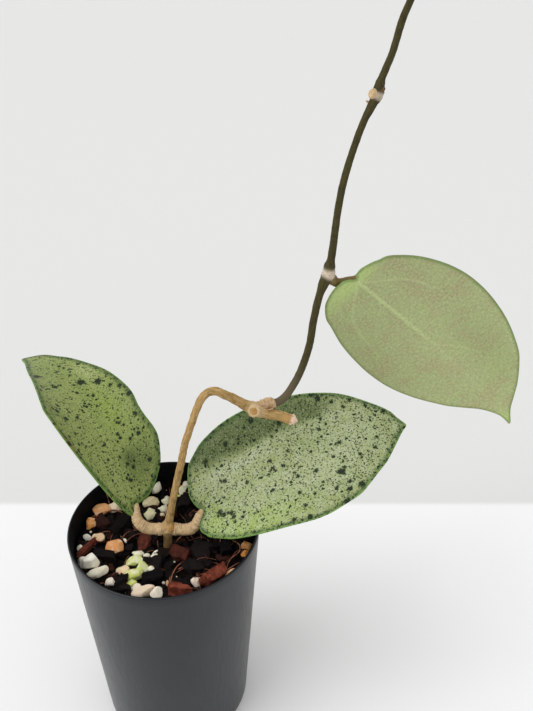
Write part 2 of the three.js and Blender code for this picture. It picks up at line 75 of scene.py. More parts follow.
LEAF_NODE = (1, 0.5, 98.5)
OLD_NODE = (36.5, 7.5, 153)
OLD_STEM_STATIONS = [
    (-0.5, -1.5, STEM_FOOT, 1.4), (0, -1, 76, 1.7), (0.5, -0.5, 87.5, 1.7), (1, 0, 94, 1.8),
    (*LEAF_NODE, 2.5), (2, 1, 103, 1.6), (4.5, 2, 115, 1.4), (8, 3, 130, 1.4), (10.2, 3.5, 140, 1.4),
    (13.4, 4, 150, 1.4), (15.1, 4.5, 155, 1.45), (17.4, 5, 160, 1.5), (19.5, 5.2, 162, 1.5),
    (22, 5.5, 162.5, 1.6), (26, 6, 160.3, 1.65), (30, 7, 157.2, 1.8), (33, 7.3, 154.8, 2.05),
    (*OLD_NODE, 2.8), (41.3, 8, 150.6, 2.2), (46, 8, 149.4, 2), (50.3, 8, 147.5, 1.8),
    (51.5, 8, 147, 1.3), (52.5, 8, 146.5, 0.6),
]
SCAR_DIRECTION = (-0.1, -0.84, 0.3)
SHOOT_COLLAR_STATIONS = [
    (37, 8, 153, 1.9), (39.5, 9, 153.5, 2.15), (41.3, 9.5, 153.6, 1.9), (42.6, 10, 153.6, 2.15),
    (44, 10.5, 153.6, 1.85),
]

VINE_NODE_1 = (62.5, 20.3, 202.3)
VINE_NODE_2 = (76, 27, 263)
VINE_NODE_3 = (93.5, 36, 318.5)
VINE_STATIONS = [
    (42.5, 10, 153.5, 1.5), (45.5, 11.5, 153.5, 1.55), (48, 13, 154.9, 1.5), (51.5, 14.8, 160, 1.45),
    (53.8, 16, 165, 1.4), (56.6, 17.3, 175, 1.35), (57.8, 17.9, 185, 1.35), (59.7, 18.9, 195, 1.35),
    (61.2, 19.6, 199.6, 1.9), (*VINE_NODE_1, 2.4), (62.9, 20.4, 205.5, 2), (63.3, 20.7, 208, 1.4),
    (64, 21, 215, 1.3), (64.8, 21.4, 225, 1.25), (66.2, 22, 235, 1.25), (68.7, 23.3, 245, 1.2),
    (72.1, 25, 255, 1.2), (74.6, 26.3, 260, 1.5), (*VINE_NODE_2, 2.05), (76.8, 27.4, 266.5, 1.6),
    (77.4, 27.7, 268.5, 1.2), (80, 29, 275, 1.15), (82.6, 30.3, 285, 1.15), (85, 31.5, 291, 1.1),
    (88, 33, 301, 1.05), (91, 34.5, 311, 1.05), (*VINE_NODE_3, 1.6), (94.8, 36.5, 322, 0.95),
    (97, 37.5, 328, 0.8), (100, 39, 333.6, 0.5),
]

PETIOLE_LEFT_STATIONS = [
    (0.5, 0.5, 98, 2.1), (-3, 0.5, 98, 2.3), (-7, 0.5, 98.5, 2.35), (-9, 0.5, 100, 2.3),
    (-10.5, 1.5, 101, 2.25), (-11.5, 3, 103, 2), (-11.5, 4.5, 105, 1.5), (-11, 5.5, 107.3, 0.7),
]
PETIOLE_RIGHT_STATIONS = [
    (1.5, 0.5, 98, 2.1), (5, 0.5, 98, 2.3), (7.5, 0.2, 98, 2.35), (10, 0.2, 98.4, 2.35),
    (12, 0.5, 99.8, 2.2), (13, 1, 101.4, 2.05), (13.8, 2, 103.8, 1.6), (14.6, 3, 105, 1.2),
    (15, 3.3, 106.2, 0.7),
]
PETIOLE_UPPER_STATIONS = [
    (62.5, 20.5, 202, 1.75), (63.7, 21, 200.6, 1.75), (65.2, 21.6, 198.8, 1.7), (67.5, 22.5, 198, 1.6),
    (70, 22.3, 199, 1.35), (72, 21, 200.5, 1), (72.8, 20.3, 202, 0.6),
]

# A leaf is drawn flat as (across, along) from the end of its stalk. `near` and `far` are its margins
# and `nerves` its side veins. `blots` are the larger dark spots (across, along, radius).
# `tone`, `silver`, `scar` and `valleys` are soft marks (across, along, reach across, reach along, amount).
# Tone runs from dark olive (-1) to bright green (+1). It is partly the leaf's own colour and partly
# painted shade where the blade turns from the light and painted light where it faces it. Silver is the
# pale bloom on the skin and, in places, painted highlight where a fold catches the light. A scar is
# brown and dry, and a valley is a shallow fold, whose amount is its height.
LEAVES = {
    "leaf_left": {
        "base": (-12.2, 5.0, 106.4), "tip": (-69.2, 70.0, 133.6), "roll": -10,
        "arch": 15, "cup": 12, "lobe_drop": 0,
        "midrib": [(0, 0), (-0.6, 25), (-0.4, 45), (0.5, 65), (1.5, 80), (0.9, 91.3)],
        "near": [
            (-0.6, -1.2), (-1.5, -2), (-3, -2.2), (-4.9, -0.5), (-7.1, 2.2), (-12.1, 10.2),
            (-16.9, 20.2), (-20.1, 30), (-21.3, 40), (-20.1, 44.8), (-15.9, 54.8), (-11.6, 64.8),
            (-7.4, 74.8), (-2.1, 84.8), (-0.5, 89), (0.5, 91.2),
        ],
        "far": [
            (1, 0.4), (4, 0.6), (7.4, 1.2), (10, 2.5), (12.7, 4.8), (15.8, 8.4), (17.5, 12.3),
            (18.8, 17), (18.8, 21), (18.1, 27), (18, 32), (18.7, 38), (18.3, 45), (16.9, 55),
            (14.3, 65), (11.7, 75), (9.9, 80), (8.6, 85), (6.7, 88.4), (3.5, 90.7), (1.4, 91.4),
        ],
        "nerves": [[(-0.6, 1.5), (-5, 9), (-9.5, 20), (-12, 33), (-12, 47)],
                   [(0.6, 2), (5, 8), (9.5, 17), (12, 29), (12.5, 43)]],
        # Some of these tone marks are painted light and shade, such as the brighter patch at (8, 38).
        "tone": [(8, 38, 5, 10, 0.6), (9, 12, 9, 9, -0.6), (6, 16, 3, 3, -0.4), (-6, 72, 8, 12, 0.1),
                 (-16, 42, 5, 14, -0.25), (3, 82, 4, 7, 0.25), (-9, 7, 4, 6, 0.25), (14, 30, 4, 16, -0.15)],
        "scar": [(-17.8, 21, 0.9, 5, 1.0), (-19.6, 27.5, 0.7, 4, 0.8)],
        "silver": [(11, 60, 3, 7, 0.75), (-3, 8, 5, 7, 0.3), (-9, 47, 6, 20, 0.12), (-1, 36, 1.0, 14, 0.35)],
        "blots": [(11.5, 52, 1.7), (6, 56, 1.9), (1.3, 51.3, 0.9), (6.2, 46.7, 0.9), (14.2, 47, 1.0),
                  (16.8, 44.3, 1.1), (-7.5, 68.3, 1.7), (-13.8, 42.8, 1.2), (-15, 44.3, 0.9),
                  (-12, 38.7, 1.3), (-6.2, 38.9, 0.9), (4.7, 41.3, 0.7), (8.6, 30.2, 0.8),
                  (5.8, 26.3, 0.9), (6, 24.5, 0.9), (9.5, 22.2, 0.9), (11, 23, 0.7), (13.2, 22.3, 1.0),
                  (-1.8, 24, 0.8), (-3.4, 18, 0.8), (2.1, 17.5, 0.7), (4, 14.1, 0.8), (5.8, 12.3, 0.9),
                  (12.8, 11.5, 0.9), (17.7, 38.5, 1.4), (15.8, 29.5, 0.9), (-18.3, 26, 1.2),
                  (2.4, 8.3, 0.9), (2.2, 68.2, 0.9), (5.5, 71.5, 0.9), (6.2, 69, 0.8), (5, 62.8, 0.7),
                  (-4.5, 58.2, 1.0), (-13, 56.5, 0.9), (11.7, 67, 0.9)],
        "valleys": [(8, 15, 6, 10, -0.8), (12, 60, 5, 9, 0.5), (-13, 50, 6, 12, -0.5), (9, 38, 5, 9, -0.5)],
    },
    "leaf_right": {
        "base": (15.4, 3.0, 105.0), "tip": (95.7, 20.0, 135.6), "roll": -25,
        "arch": 8, "cup": 6, "lobe_drop": 0,
        "midrib": [(0, 0), (0.6, 15), (0.8, 35), (0.4, 60), (0.1, 88)],
        "near": [
            (-1.3, 0.3), (-2.2, -0.9), (-3.5, -1.7), (-6, -2.7), (-8.7, -3.1), (-11, -2.7),
            (-14, -1.7), (-18, 0.3), (-20, 2.2), (-21.8, 5.2), (-24.2, 10.1), (-26.4, 20), (-27, 30),
            (-26.5, 40), (-24.8, 51), (-22.6, 60), (-18.8, 69.8), (-11.6, 79.7), (-7.2, 84.2),
            (-4.1, 85.7), (-0.2, 87.9),
        ],
        "far": [
            (0.9, -0.2), (1.9, -1.4), (3.6, -2.8), (5.8, -3.2), (7.5, -2.7), (9, -1.7), (11.4, 0.2),
            (14.8, 5.2), (17.6, 10.2), (20.9, 20), (23.2, 30), (25.3, 40), (25.7, 45), (25.2, 50),
            (22.7, 60), (19.8, 64.8), (16.2, 69.8), (12.6, 74.8), (7.7, 79.8), (2.7, 84.8),
            (0.2, 87.9),
        ],
        "nerves": [[(-0.8, 1), (-6, 7), (-10.6, 17), (-13.4, 29), (-15.4, 41), (-14, 56)],
                   [(0.8, 1.5), (6, 8), (11, 19), (14, 32), (15, 46)]],
        # The dark olive marks along the near side, from -16 to -22 across, are painted shade where the blade
        # turns from the light.
        "tone": [(-21.5, 13, 6, 19, -1.0), (-20.5, 40, 5, 18, -0.95), (-16.5, 56, 3, 9, -0.5),
                 (17, 20, 6, 22, 0.75), (8, 3, 9, 7, 0.75), (-5, 2, 5, 4, 0.3), (-5, 52, 4, 8, 0.3),
                 (-14, -1, 6, 3, 0.2)],
        # The narrow silver marks at -10 and -13 across, beside the fold, are painted reflection.
        "silver": [(-10.2, 20, 2.0, 10, 0.75), (-13, 36, 1.4, 7, 0.3), (4, 24, 9, 20, 0.25),
                   (-2, 66, 13, 15, 0.4), (12, 50, 8, 12, 0.25), (-6, 8, 4, 6, 0.35)],
        "blots": [(4.5, 7, 1.5), (6, 8.2, 1.2), (7, 11.5, 1.1), (9, 12, 1.1), (6.3, 10.2, 0.8),
                  (11.3, 11.8, 0.8), (-6.2, 13.2, 1.1), (-7, 11.7, 0.7), (11, 15.5, 0.9),
                  (-17, 8.5, 1.2), (-19, 19, 1.2), (-22.5, 32, 1.3), (-14.2, 37.3, 0.8),
                  (-1.3, 21.5, 1.0), (-5, 33.2, 0.9), (-1.8, 33, 0.9), (-1.2, 31.8, 0.7),
                  (-1, 37.3, 1.0), (6.5, 30.2, 0.8), (-3, 30.2, 0.6), (5.5, 41.2, 0.9),
                  (3.5, 40.3, 0.7), (-5.5, 41.3, 0.7), (-17.5, 42, 1.1), (12.5, 39.5, 0.9),
                  (18.7, 40.2, 0.8), (15.5, 44.8, 0.8), (22.3, 34, 1.1), (24, 40, 1.3),
                  (10.8, 57.3, 1.6), (9.5, 59, 0.9), (19, 62.5, 1.5), (19.2, 57.5, 1.3),
                  (16.2, 58.6, 1.0), (17, 53, 0.9), (6.5, 48.5, 1.0), (-1.2, 61, 1.0), (-1, 59.4, 0.7),
                  (-20.5, 60, 1.4), (-22.5, 58, 1.0), (-9, 55.7, 0.9), (24, 55, 1.5), (-8, 82, 1.0),
                  (-12, 76.3, 0.9), (1.7, 75.3, 0.8), (5.8, 73, 0.9), (-16, 71.5, 1.0),
                  (-14.3, 68, 0.9), (-17.5, 64.5, 0.9), (6.3, 66.5, 0.8)],
        "valleys": [(-13.2, 24, 3.2, 16, -1.7), (-15, 44, 3.6, 10, -0.7), (16, 26, 6, 16, 0.6),
                    (-5, 30, 4, 18, 0.35), (-8, 66, 5, 6, -0.5)],
    },
    "leaf_upper": {
        "base": (72.4, 20.0, 200.7), "tip": (137.1, 20.0, 137.6), "roll": 90,
        "arch": 8, "cup": 3, "lobe_drop": 4,
        "midrib": [(0, 0), (-0.5, 10), (-0.5, 30), (0, 50), (0, 75), (-0.5, 90.9)],
        "near": [
            (-0.9, -0.4), (-2, -1.7), (-3.6, -2.8), (-6.5, -3), (-8.6, -2.7), (-11.5, -1.7),
            (-14.9, 0.3), (-18.9, 5.2), (-20.9, 10.2), (-24.7, 20), (-27, 30), (-27.9, 40),
            (-26.7, 50), (-22.6, 59.8), (-15.6, 69.7), (-10.6, 74.7), (-5.3, 79.7), (-1.8, 84.9),
            (-0.9, 88), (-0.8, 90.8),
        ],
        "far": [
            (1.1, -1.2), (3.5, -1.8), (5.4, -1.6), (8.4, -0.7), (10.4, 0.3), (14.2, 2.2), (19.6, 10),
            (23.7, 20), (26.2, 30), (27.1, 40), (26.6, 50), (24.7, 60), (20.9, 70), (17.4, 74.8),
            (12.4, 79.7), (8.3, 82.7), (4, 85.7), (1.9, 87.8), (-0.2, 90.5),
        ],
        "nerves": [[(-0.8, 1), (-5, 5.5), (-10, 9.5), (-13.6, 14), (-16, 20), (-17.6, 27), (-19, 36)],
                   [(-0.6, 14), (-3.4, 17.5), (-7, 20), (-9, 24)],
                   [(1.2, 3.5), (6, 8.5), (10, 12.5), (13.4, 18), (16, 27)],
                   [(0, 30), (3.4, 34), (7, 40)], [(0.2, 38), (-4, 44), (-9, 49)],
                   [(0.4, 46), (6, 53), (10, 60)]],
        "tone": [(13, 62, 10, 24, -0.3), (-6, 0, 8, 4, 0.9), (5, 0, 5, 3, 0.6), (-24, 34, 4, 18, 0.2),
                 (-12, 72, 9, 7, -0.15), (0, 88, 3, 4, 0.7), (-17, 4, 5, 5, 0.4)],
        "silver": [(4, 36, 9, 14, 0.35), (-3, 46, 7, 9, 0.35), (10, 62, 9, 10, 0.3)],
        "blots": [(5.4, 30, 1.3), (-9, 22, 1.2), (12, 44, 1.0), (-14, 50, 1.4), (2, 66, 0.9), (-4, 8, 1.1),
                  (16, 20, 1.1), (-18, 33, 1.2), (8, 72, 0.9), (20, 52, 1.2)],
        "valleys": [(-14, 62, 8, 8, 0.4), (14, 30, 8, 12, -0.3)],
    },
}

# The pieces that show on the mix: (x, y, width, depth, height, turn, orange, green), the last two
# being how far the stone is stained.
STONES = [
    (-29, 16.5, 8.5, 6, 5, 15, 0.85, 0), (-23.5, 19, 6, 6, 5.5, 40, 0.2, 0),
    (-32, 9.5, 6, 4.5, 4.5, 60, 0.95, 0), (-28, 2.5, 5, 5, 5, 20, 0.5, 0),
    (-20.5, -3, 7.5, 6.5, 6.5, 70, 0.9, 0), (-34, -4.5, 2.5, 2.5, 3, 0, 0.05, 0),
    (-31, -12.5, 4, 4.5, 4.5, 30, 0, 0), (-28, -12.5, 6.5, 6, 6.5, 50, 0, 0),
    (-25, -16.5, 8.5, 4.5, 5, 30, 0, 0), (-18.5, -23, 4, 4, 4.5, 0, 0.15, 0),
    (-9, -23.5, 4, 4, 4, 15, 0.2, 0), (-6, -25.5, 9, 5, 6, 25, 0.25, 0),
    (-0.5, -27, 5, 5, 5, -10, 0.1, 0), (-11.5, -9, 7, 5, 5, 20, 0, 0.95),
    (-15.5, -14, 5, 5, 5, 80, 0.35, 0.15), (-11, -16.5, 7, 6, 5.5, 15, 0.05, 1),
    (-8, -12.5, 4.5, 5, 5, 60, 0, 0.85), (-11, -4.5, 4.5, 3, 3, 0, 0, 0.1),
    (-7.5, -5, 3, 2.5, 2.5, 10, 0, 0), (-4.5, -13.5, 3, 3.5, 4, 20, 0, 0),
    (-3.5, -2.5, 4.5, 2, 2.5, 40, 0, 0), (-7, 31, 3, 7, 4.5, -20, 0.1, 0),
    (-9, 23.5, 6.5, 5.5, 5, 20, 0.35, 0.3), (-8.5, 17, 6, 5.5, 5.5, -15, 0, 0.35),
    (-3.5, 20, 4.5, 4.5, 4.5, 30, 0, 0.15), (-2.5, 25, 5, 4.5, 4, 0, 0, 0.3),
    (4.5, 29.5, 4.5, 4.5, 4.5, 20, 0, 0.25), (5.5, 33, 4, 4, 4, 50, 0.1, 0),
    (13.5, -20, 4, 3.5, 4, -20, 0.25, 0), (27, -18, 5.5, 3.5, 4, 35, 0.75, 0),
    (33, -3.5, 4, 5, 4.5, 80, 0.9, 0), (32.5, -9, 3, 4, 4, 80, 1, 0), (-32, 1.5, 2.5, 4, 4, 70, 0, 0),
    (-4.5, -5.5, 3.5, 2, 2.5, 35, 0, 0), (15, -18.5, 2, 2, 2.5, 0, 0.35, 0),
    (-3.5, 16.5, 2.5, 2, 2.5, 10, 0.3, 0), (3, 26, 2, 3, 3, -15, 0, 1),
]
# (x, y, width, depth, height, turn, tilt, redness): flat flakes of bark.
BARK = [
    (-9.5, 1, 6, 8, 5, 8, 10, 0.55), (8, -25, 8.5, 4.5, 5.5, 8, -14, 1),
    (20.5, -19.5, 9.5, 5, 9, 40, 24, 0.9), (6, -4.5, 8, 7, 5, -25, 14, 0.45),
    (-20, 10, 10, 8, 5, 35, -16, 0.1), (-14, 27, 10, 6, 5, -20, 18, 0.2),
    (5.5, 21.5, 7, 8.5, 6, 10, -12, 0.2), (14.5, -3.5, 10, 8, 5, -30, 10, 0),
    (-31.5, -5, 11.5, 2.5, 2.5, 53, 8, 0.7), (15, 29, 9, 5, 4, -40, 14, 0.2),
    (28, 9, 8, 5, 4, 70, -10, 0.3), (-23.5, -8, 8.5, 5, 5, -8, 6, 0),
    (-3.5, -18.5, 7.5, 6, 5, 10, -8, 0), (-3, -10, 5, 6.5, 4, 10, 8, 0.05),
    (24.5, -3.5, 5, 7, 4.5, 15, -10, 0.05), (-27.5, 10, 5.5, 6, 4, 30, 10, 0.35),
    (-14.5, -24, 7, 3.5, 3.5, -30, 6, 0.05), (13.5, -12, 5, 6, 4, 20, 12, 0.05),
]
# One greenish flake of stone, in the same order of numbers, without the redness.
GREEN_SHARD = (-12.5, -22, 6, 4, 4, 50, -12)

# Coir fibres that show clearly, as (x, y, height above the mix) along each.
FIBRES = [
    [(25, -14.5, 0), (25.5, -11.5, 1.5), (27, -9.5, 2.2), (30, -8.5, 2.4), (30.5, -6, 2.2), (30, -3.5, 1.6),
     (29, -1, 1), (27, 1, 0)],
    [(24, -16, 0), (26, -15, 1.2), (28.5, -14, 1.2), (30, -12.5, 0.2)],
    [(4, -21.5, 0), (4, -18, 1.5), (4.5, -14.5, 2), (5.5, -11.5, 2), (7.5, -9, 1.2), (9, -7.5, 0)],
    [(3.5, -21, 0), (3, -18, 1.2), (4, -15, 0.4)],
    [(6, -12, 0.6), (7, -11.5, 1), (8, -11, 0.4)],
    [(3, -0.5, 0), (4.5, 2, 1.4), (5.5, 4.5, 0.2)],
    [(-16.5, 0.5, 0), (-14.5, 3, 1.6), (-12.5, 5, 1.8), (-10, 7, 0.3)],
    [(-18.5, 3, 0), (-17.5, 5.5, 1.6), (-15.5, 7.5, 1.8), (-13, 9, 0.2)],
    [(-33, 12.5, 0.2), (-28.5, 14, 1.6), (-25, 15, 2), (-22, 16.5, 2), (-19, 16, 1.6), (-17, 14.5, 1.4),
     (-16, 11.5, 1), (-14, 10, 0)],
    [(6.5, 13.5, 0), (8, 16.5, 1.8), (10, 19, 0.4)],
    [(7.5, 14, 0), (9, 16, 1.6), (10.5, 18, 1.4), (11.5, 18.5, 0.2)],
    [(22, 2.5, 0), (22, 0, 1.4), (22, -3, 0)],
    [(32, 0, 0.4), (31.5, -5.5, 1.6), (30.5, -8, 0.2)],
    [(22.5, -13, 0), (23, -15, 1.2), (23.5, -16.5, 1)],
    [(-27.5, 22.5, 7), (-27, 22, 4.5), (-26.5, 21, 2), (-25.5, 19.5, 0)],
]
# Slivers of stone between the larger ones, in the same order of numbers as the stones.
SLIVERS = [
    (-18, 13.5, 1.6, 1.2, 1.2, 20, 0, 0), (-17, 13, 1.2, 1, 1, 50, 0, 0),
    (-22.5, 11, 1.5, 4, 1.4, -30, 0.15, 0), (-17, 2, 1.2, 3, 1.2, 25, 0.1, 0),
    (1, -19.5, 1.3, 1.2, 1.2, 0, 0, 0), (3, -22.5, 1.2, 1.2, 4, 0, 0.6, 0),
]


# ---------------------------------------------------------------- hands: choosing, joining and placing

WELD = 0.0000005
STEM_WELD = 0.000001
FULL_TURN = 2 * math.pi
NOISE_SHIFTS = (7.3, 3.1, 5.7)


def only(*pieces):
    """Selects these objects alone, the first one active."""
    bpy.ops.object.select_all(action="DESELECT")
    for piece in pieces:
        piece.select_set(True)
    bpy.context.view_layer.objects.active = pieces[0]


def fresh(add, **settings):
    """Adds one plain shape with nothing else selected."""
    bpy.ops.object.select_all(action="DESELECT")
    add(**settings)
    return bpy.context.object


def fresh_grid(columns, rows):
    return fresh(bpy.ops.mesh.primitive_grid_add, x_subdivisions=columns, y_subdivisions=rows, size=2)


@contextmanager
def editing(piece, action="SELECT"):
    """Edit mode on one piece, with all of its mesh selected or none of it."""
    only(piece)
    bpy.ops.object.mode_set(mode="EDIT")
    bpy.ops.mesh.select_all(action=action)
    yield bpy.ops.mesh
    bpy.ops.object.mode_set(mode="OBJECT")


def name_piece(piece, name):
    piece.name = name
    piece.data.name = name
    return piece


def joined(name, pieces):
    """Joins the pieces into one."""
    only(*pieces)
    if len(pieces) > 1:
        bpy.ops.object.join()
    return name_piece(bpy.context.object, name)


def placed(name, data):
    """An object with this data, put into the scene."""
    made = bpy.data.objects.new(name, data)
    bpy.context.scene.collection.objects.link(made)
    return made


def copy_of(piece):
    return placed(piece.name, piece.data.copy())


def wear(piece, *skins):
    piece.data.materials.clear()
    for skin in skins:
        piece.data.materials.append(skin)
    return piece


def points_of(piece):
    """The mesh's points as rows of three numbers."""
    found = np.zeros(len(piece.data.vertices) * 3)
    piece.data.vertices.foreach_get("co", found)
    return found.reshape(-1, 3)


def put_points(piece, points):
    piece.data.vertices.foreach_set("co", np.asarray(points, float).ravel())
    piece.data.update()


def paint(piece, **layers):
    """Stores a number or a vector for each point, or one number for all, for the materials to read."""
    for name, values in layers.items():
        if name in piece.data.attributes:
            piece.data.attributes.remove(piece.data.attributes[name])
        values = np.asarray(values, float)
        if values.ndim == 0:
            values = np.full(len(piece.data.vertices), values)
        kind, part = ("FLOAT_VECTOR", "vector") if values.ndim == 2 else ("FLOAT", "value")
        piece.data.attributes.new(name, kind, "POINT").data.foreach_set(part, values.ravel())


def rough(points, scale, seed=0.0):
    """Smooth random heights, about -1 to 1, at points in millimetres."""
    shift = Vector([seed * step for step in NOISE_SHIFTS])
    return np.array([noise.noise(Vector(point) * scale + shift) for point in points])


def ease(value, low, high):
    """0 below low, 1 above high, and smooth between."""
    t = np.clip((np.asarray(value, float) - low) / (high - low), 0, 1)
    return t * t * (3 - 2 * t)


def hill(value, centre, width, power=2):
    """1 at the centre, falling away on both sides."""
    return np.exp(-(((value - centre) / width) ** power))


def finish_piece(piece, slot, *nodes, skin=None, crease=None):
    """Shades the piece, with sharp edges where it bends by more than `crease` degrees, and rides it."""
    if skin:
        wear(piece, skin)
    only(piece)
    if crease is None:
        bpy.ops.object.shade_smooth()
    else:
        bpy.ops.object.shade_smooth_by_angle(angle=math.radians(crease))
    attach(piece, "root")
    for node_name in nodes:
        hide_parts(node_name)


# ---------------------------------------------------------------- shader helpers

# The shader tree that is being drawn. The helpers below add to it.
tree = None


def srgb(red, green, blue):
    """A colour as it looks on a screen, 0 to 255, in the numbers that shaders use."""
    parts = [value / 255 for value in (red, green, blue)]
    return tuple(p / 12.92 if p <= 0.04045 else ((p + 0.055) / 1.055) ** 2.4 for p in parts) + (1,)


def feed(inputs, sockets):
    """Gives each input a value or the output that feeds it."""
    for key, value in sockets.items():
        if isinstance(value, bpy.types.NodeSocket):
            tree.links.new(value, inputs[key])
        else:
            inputs[key].default_value = value


def node(kind, sockets, **settings):
    made = tree.nodes.new(kind)
    for key, value in settings.items():
        setattr(made, key, value)
    feed(made.inputs, sockets)
    return made


def calc(operation, first, second=0.0):
    return node("ShaderNodeMath", {0: first, 1: second}, operation=operation).outputs[0]


def times(first, second):
    return calc("MULTIPLY", first, second)


def plus(first, second):
    return calc("ADD", first, second)


def minus(first, second):
    return calc("SUBTRACT", first, second)


def stretch(value, low, high, new_low=0.0, new_high=1.0):
    """Moves a value from one range to another, smoothly and with clean ends."""
    sockets = {"Value": value, "From Min": low, "From Max": high, "To Min": new_low, "To Max": new_high}
    return node("ShaderNodeMapRange", sockets, interpolation_type="SMOOTHSTEP").outputs[0]


def mix(factor, first, second):
    return node("ShaderNodeMix", {0: factor, 6: first, 7: second}, data_type="RGBA").outputs[2]


def layered(colour, *layers):
    """Lays colours over a first one, each as (how much of it shows, colour)."""
    for amount, over in layers:
        colour = mix(amount, colour, over)
    return colour


def painted(name, part="Fac"):
    return node("ShaderNodeAttribute", {}, attribute_name=name).outputs[part]


def scaled(vector, scale):
    """The vector with each part multiplied."""
    return node("ShaderNodeMapping", {"Vector": vector, "Scale": scale}, vector_type="POINT").outputs[0]


def object_mm():
    """Object coordinates in millimetres."""
    return scaled(node("ShaderNodeTexCoord", {}).outputs["Object"], (1000, 1000, 1000))


def fuzz(vector, scale, detail=3.0, roughness=0.55, part="Fac"):
    sockets = {"Vector": vector, "Scale": scale, "Detail": detail, "Roughness": roughness}
    return node("ShaderNodeTexNoise", sockets, noise_dimensions="3D").outputs[part]


def cells(vector, scale, dimensions="3D"):
    sockets = {"Vector": vector, "Scale": scale}
    return node("ShaderNodeTexVoronoi", sockets, voronoi_dimensions=dimensions).outputs


def vector_calc(operation, first, sockets):
    return node("ShaderNodeVectorMath", {0: first, **sockets}, operation=operation).outputs[0]


def new_group(name, inputs, outputs):
    """Starts a shader group. The default tells an input's kind: None for a vector, a colour or a number."""
    global tree
    tree = bpy.data.node_groups.new(name, "ShaderNodeTree")
    for label, default in inputs.items():
        kind = "Vector" if default is None else "Color" if isinstance(default, tuple) else "Float"
        socket = tree.interface.new_socket(label, in_out="INPUT", socket_type="NodeSocket" + kind)
        if default is not None:
            socket.default_value = default
    for label in outputs:
        kind = "Color" if label == "Color" else "Float"
        tree.interface.new_socket(label, in_out="OUTPUT", socket_type="NodeSocket" + kind)
    return node("NodeGroupInput", {}).outputs


def close_group(**outputs):
    node("NodeGroupOutput", outputs)
    return tree


def place_group(group, sockets):
    return node("ShaderNodeGroup", sockets, node_tree=group).outputs


def new_material(name):
    global tree
    material = bpy.data.materials.new(name)
    material.use_nodes = True
    tree = material.node_tree
    return material


def close_material(material, colour, roughness, specular=None, relief=None, **subsurface):
    """Feeds the surface. `relief` is (height, the metres it stands for where it is 1)."""
    surface = next(n for n in tree.nodes if n.type == "BSDF_PRINCIPLED")
    feed(surface.inputs, {"Base Color": colour, "Roughness": roughness})
    if specular is not None:
        feed(surface.inputs, {"Specular IOR Level": specular})
    feed(surface.inputs, {"Subsurface " + part.title(): value for part, value in subsurface.items()})
    if relief:
        bump = node("ShaderNodeBump", {"Height": relief[0], "Distance": relief[1], "Strength": 1.0})
        feed(surface.inputs, {"Normal": bump.outputs[0]})
    return material


# ---------------------------------------------------------------- leaf skins

# What an upper skin is given, and each leaf's own values in the same order.
SKIN_COLOURS = ("Green", "Bright", "Olive", "Silver", "Fleck", "Rim", "Edge")
SKIN_AMOUNTS = ("Bloom", "Fine", "Coarse", "Rim Spots")
LEAF_SKINS = {
    "leaf_left": [
        (134, 149, 78), (142, 164, 66), (78, 92, 44), (168, 178, 120), (14, 32, 14), (48, 80, 34),
        (104, 140, 58), 0.3, 0.44, 0.1, 0.9,
    ],
    "leaf_right": [
        (148, 160, 100), (150, 174, 80), (84, 98, 52), (184, 192, 160), (16, 34, 18), (56, 90, 42),
        (118, 154, 74), 0.56, 0.6, 0.13, 0.9,
    ],
    "leaf_upper": [
        (136, 150, 88), (144, 168, 76), (82, 96, 50), (178, 187, 148), (16, 34, 18), (54, 86, 40),
        (110, 146, 68), 0.45, 0.5, 0.12, 0.8,
    ],
}
UNDER_OLIVE = srgb(165, 174, 125)
UNDER_BROWN = srgb(165, 152, 118)
UNDER_GREEN = srgb(180, 200, 128)
UNDER_VEIN = srgb(192, 204, 148)
UNDER_RIM = srgb(84, 116, 48)
PLAIN_GREY = srgb(128, 128, 128)


def leaf_speckle_group():
    """The dark flecks on the upper skin, from dust-fine dots to ragged spots."""
    inputs = {"Skin": None, **dict.fromkeys(SKIN_AMOUNTS[1:], 0.5)}
    given = new_group("leaf_flecks", inputs, ("Dots", "Spots"))
    skin = given["Skin"]
    wander = vector_calc("SUBTRACT", fuzz(skin, 1.3, 2.0, part="Color"), {1: (0.5, 0.5, 0.5)})
    bent = vector_calc("ADD", skin, {1: vector_calc("SCALE", wander, {"Scale": 1.3})})
    crowd = fuzz(skin, 0.13, 3.0, 0.6)
    long_flecks = scaled(bent, (1.0, 0.78, 1.0))
    found = []
    for label, scale, widest in (("Fine", 1.5, 0.5), ("Coarse", 0.72, 0.42)):
        cell = cells(long_flecks, scale, "2D")
        chance = node("ShaderNodeSeparateColor", {0: cell["Color"]}).outputs[0]
        amount = plus(given[label], times(minus(crowd, 0.5), 0.9))
        size = times(stretch(chance, minus(1.0, amount), 1.0), widest)
        found.append(stretch(minus(size, cell["Distance"]), -0.02, 0.08))
    ragged = times(minus(fuzz(skin, 1.5, 4.0, 0.72), 0.5), 3.6)
    blots = stretch(plus(painted("blot"), ragged), 0.1, 0.2)
    rim = painted("rim")
    border = times(stretch(rim, 2.8, 1.2), stretch(rim, 0.3, 0.8))
    border_spots = stretch(fuzz(skin, 0.75, 4.0, 0.7), 0.5, 0.6)
    rim_spots = times(times(border, border_spots), given["Rim Spots"])
    return close_group(Dots=found[0], Spots=calc("MAXIMUM", calc("MAXIMUM", found[1], blots), rim_spots))


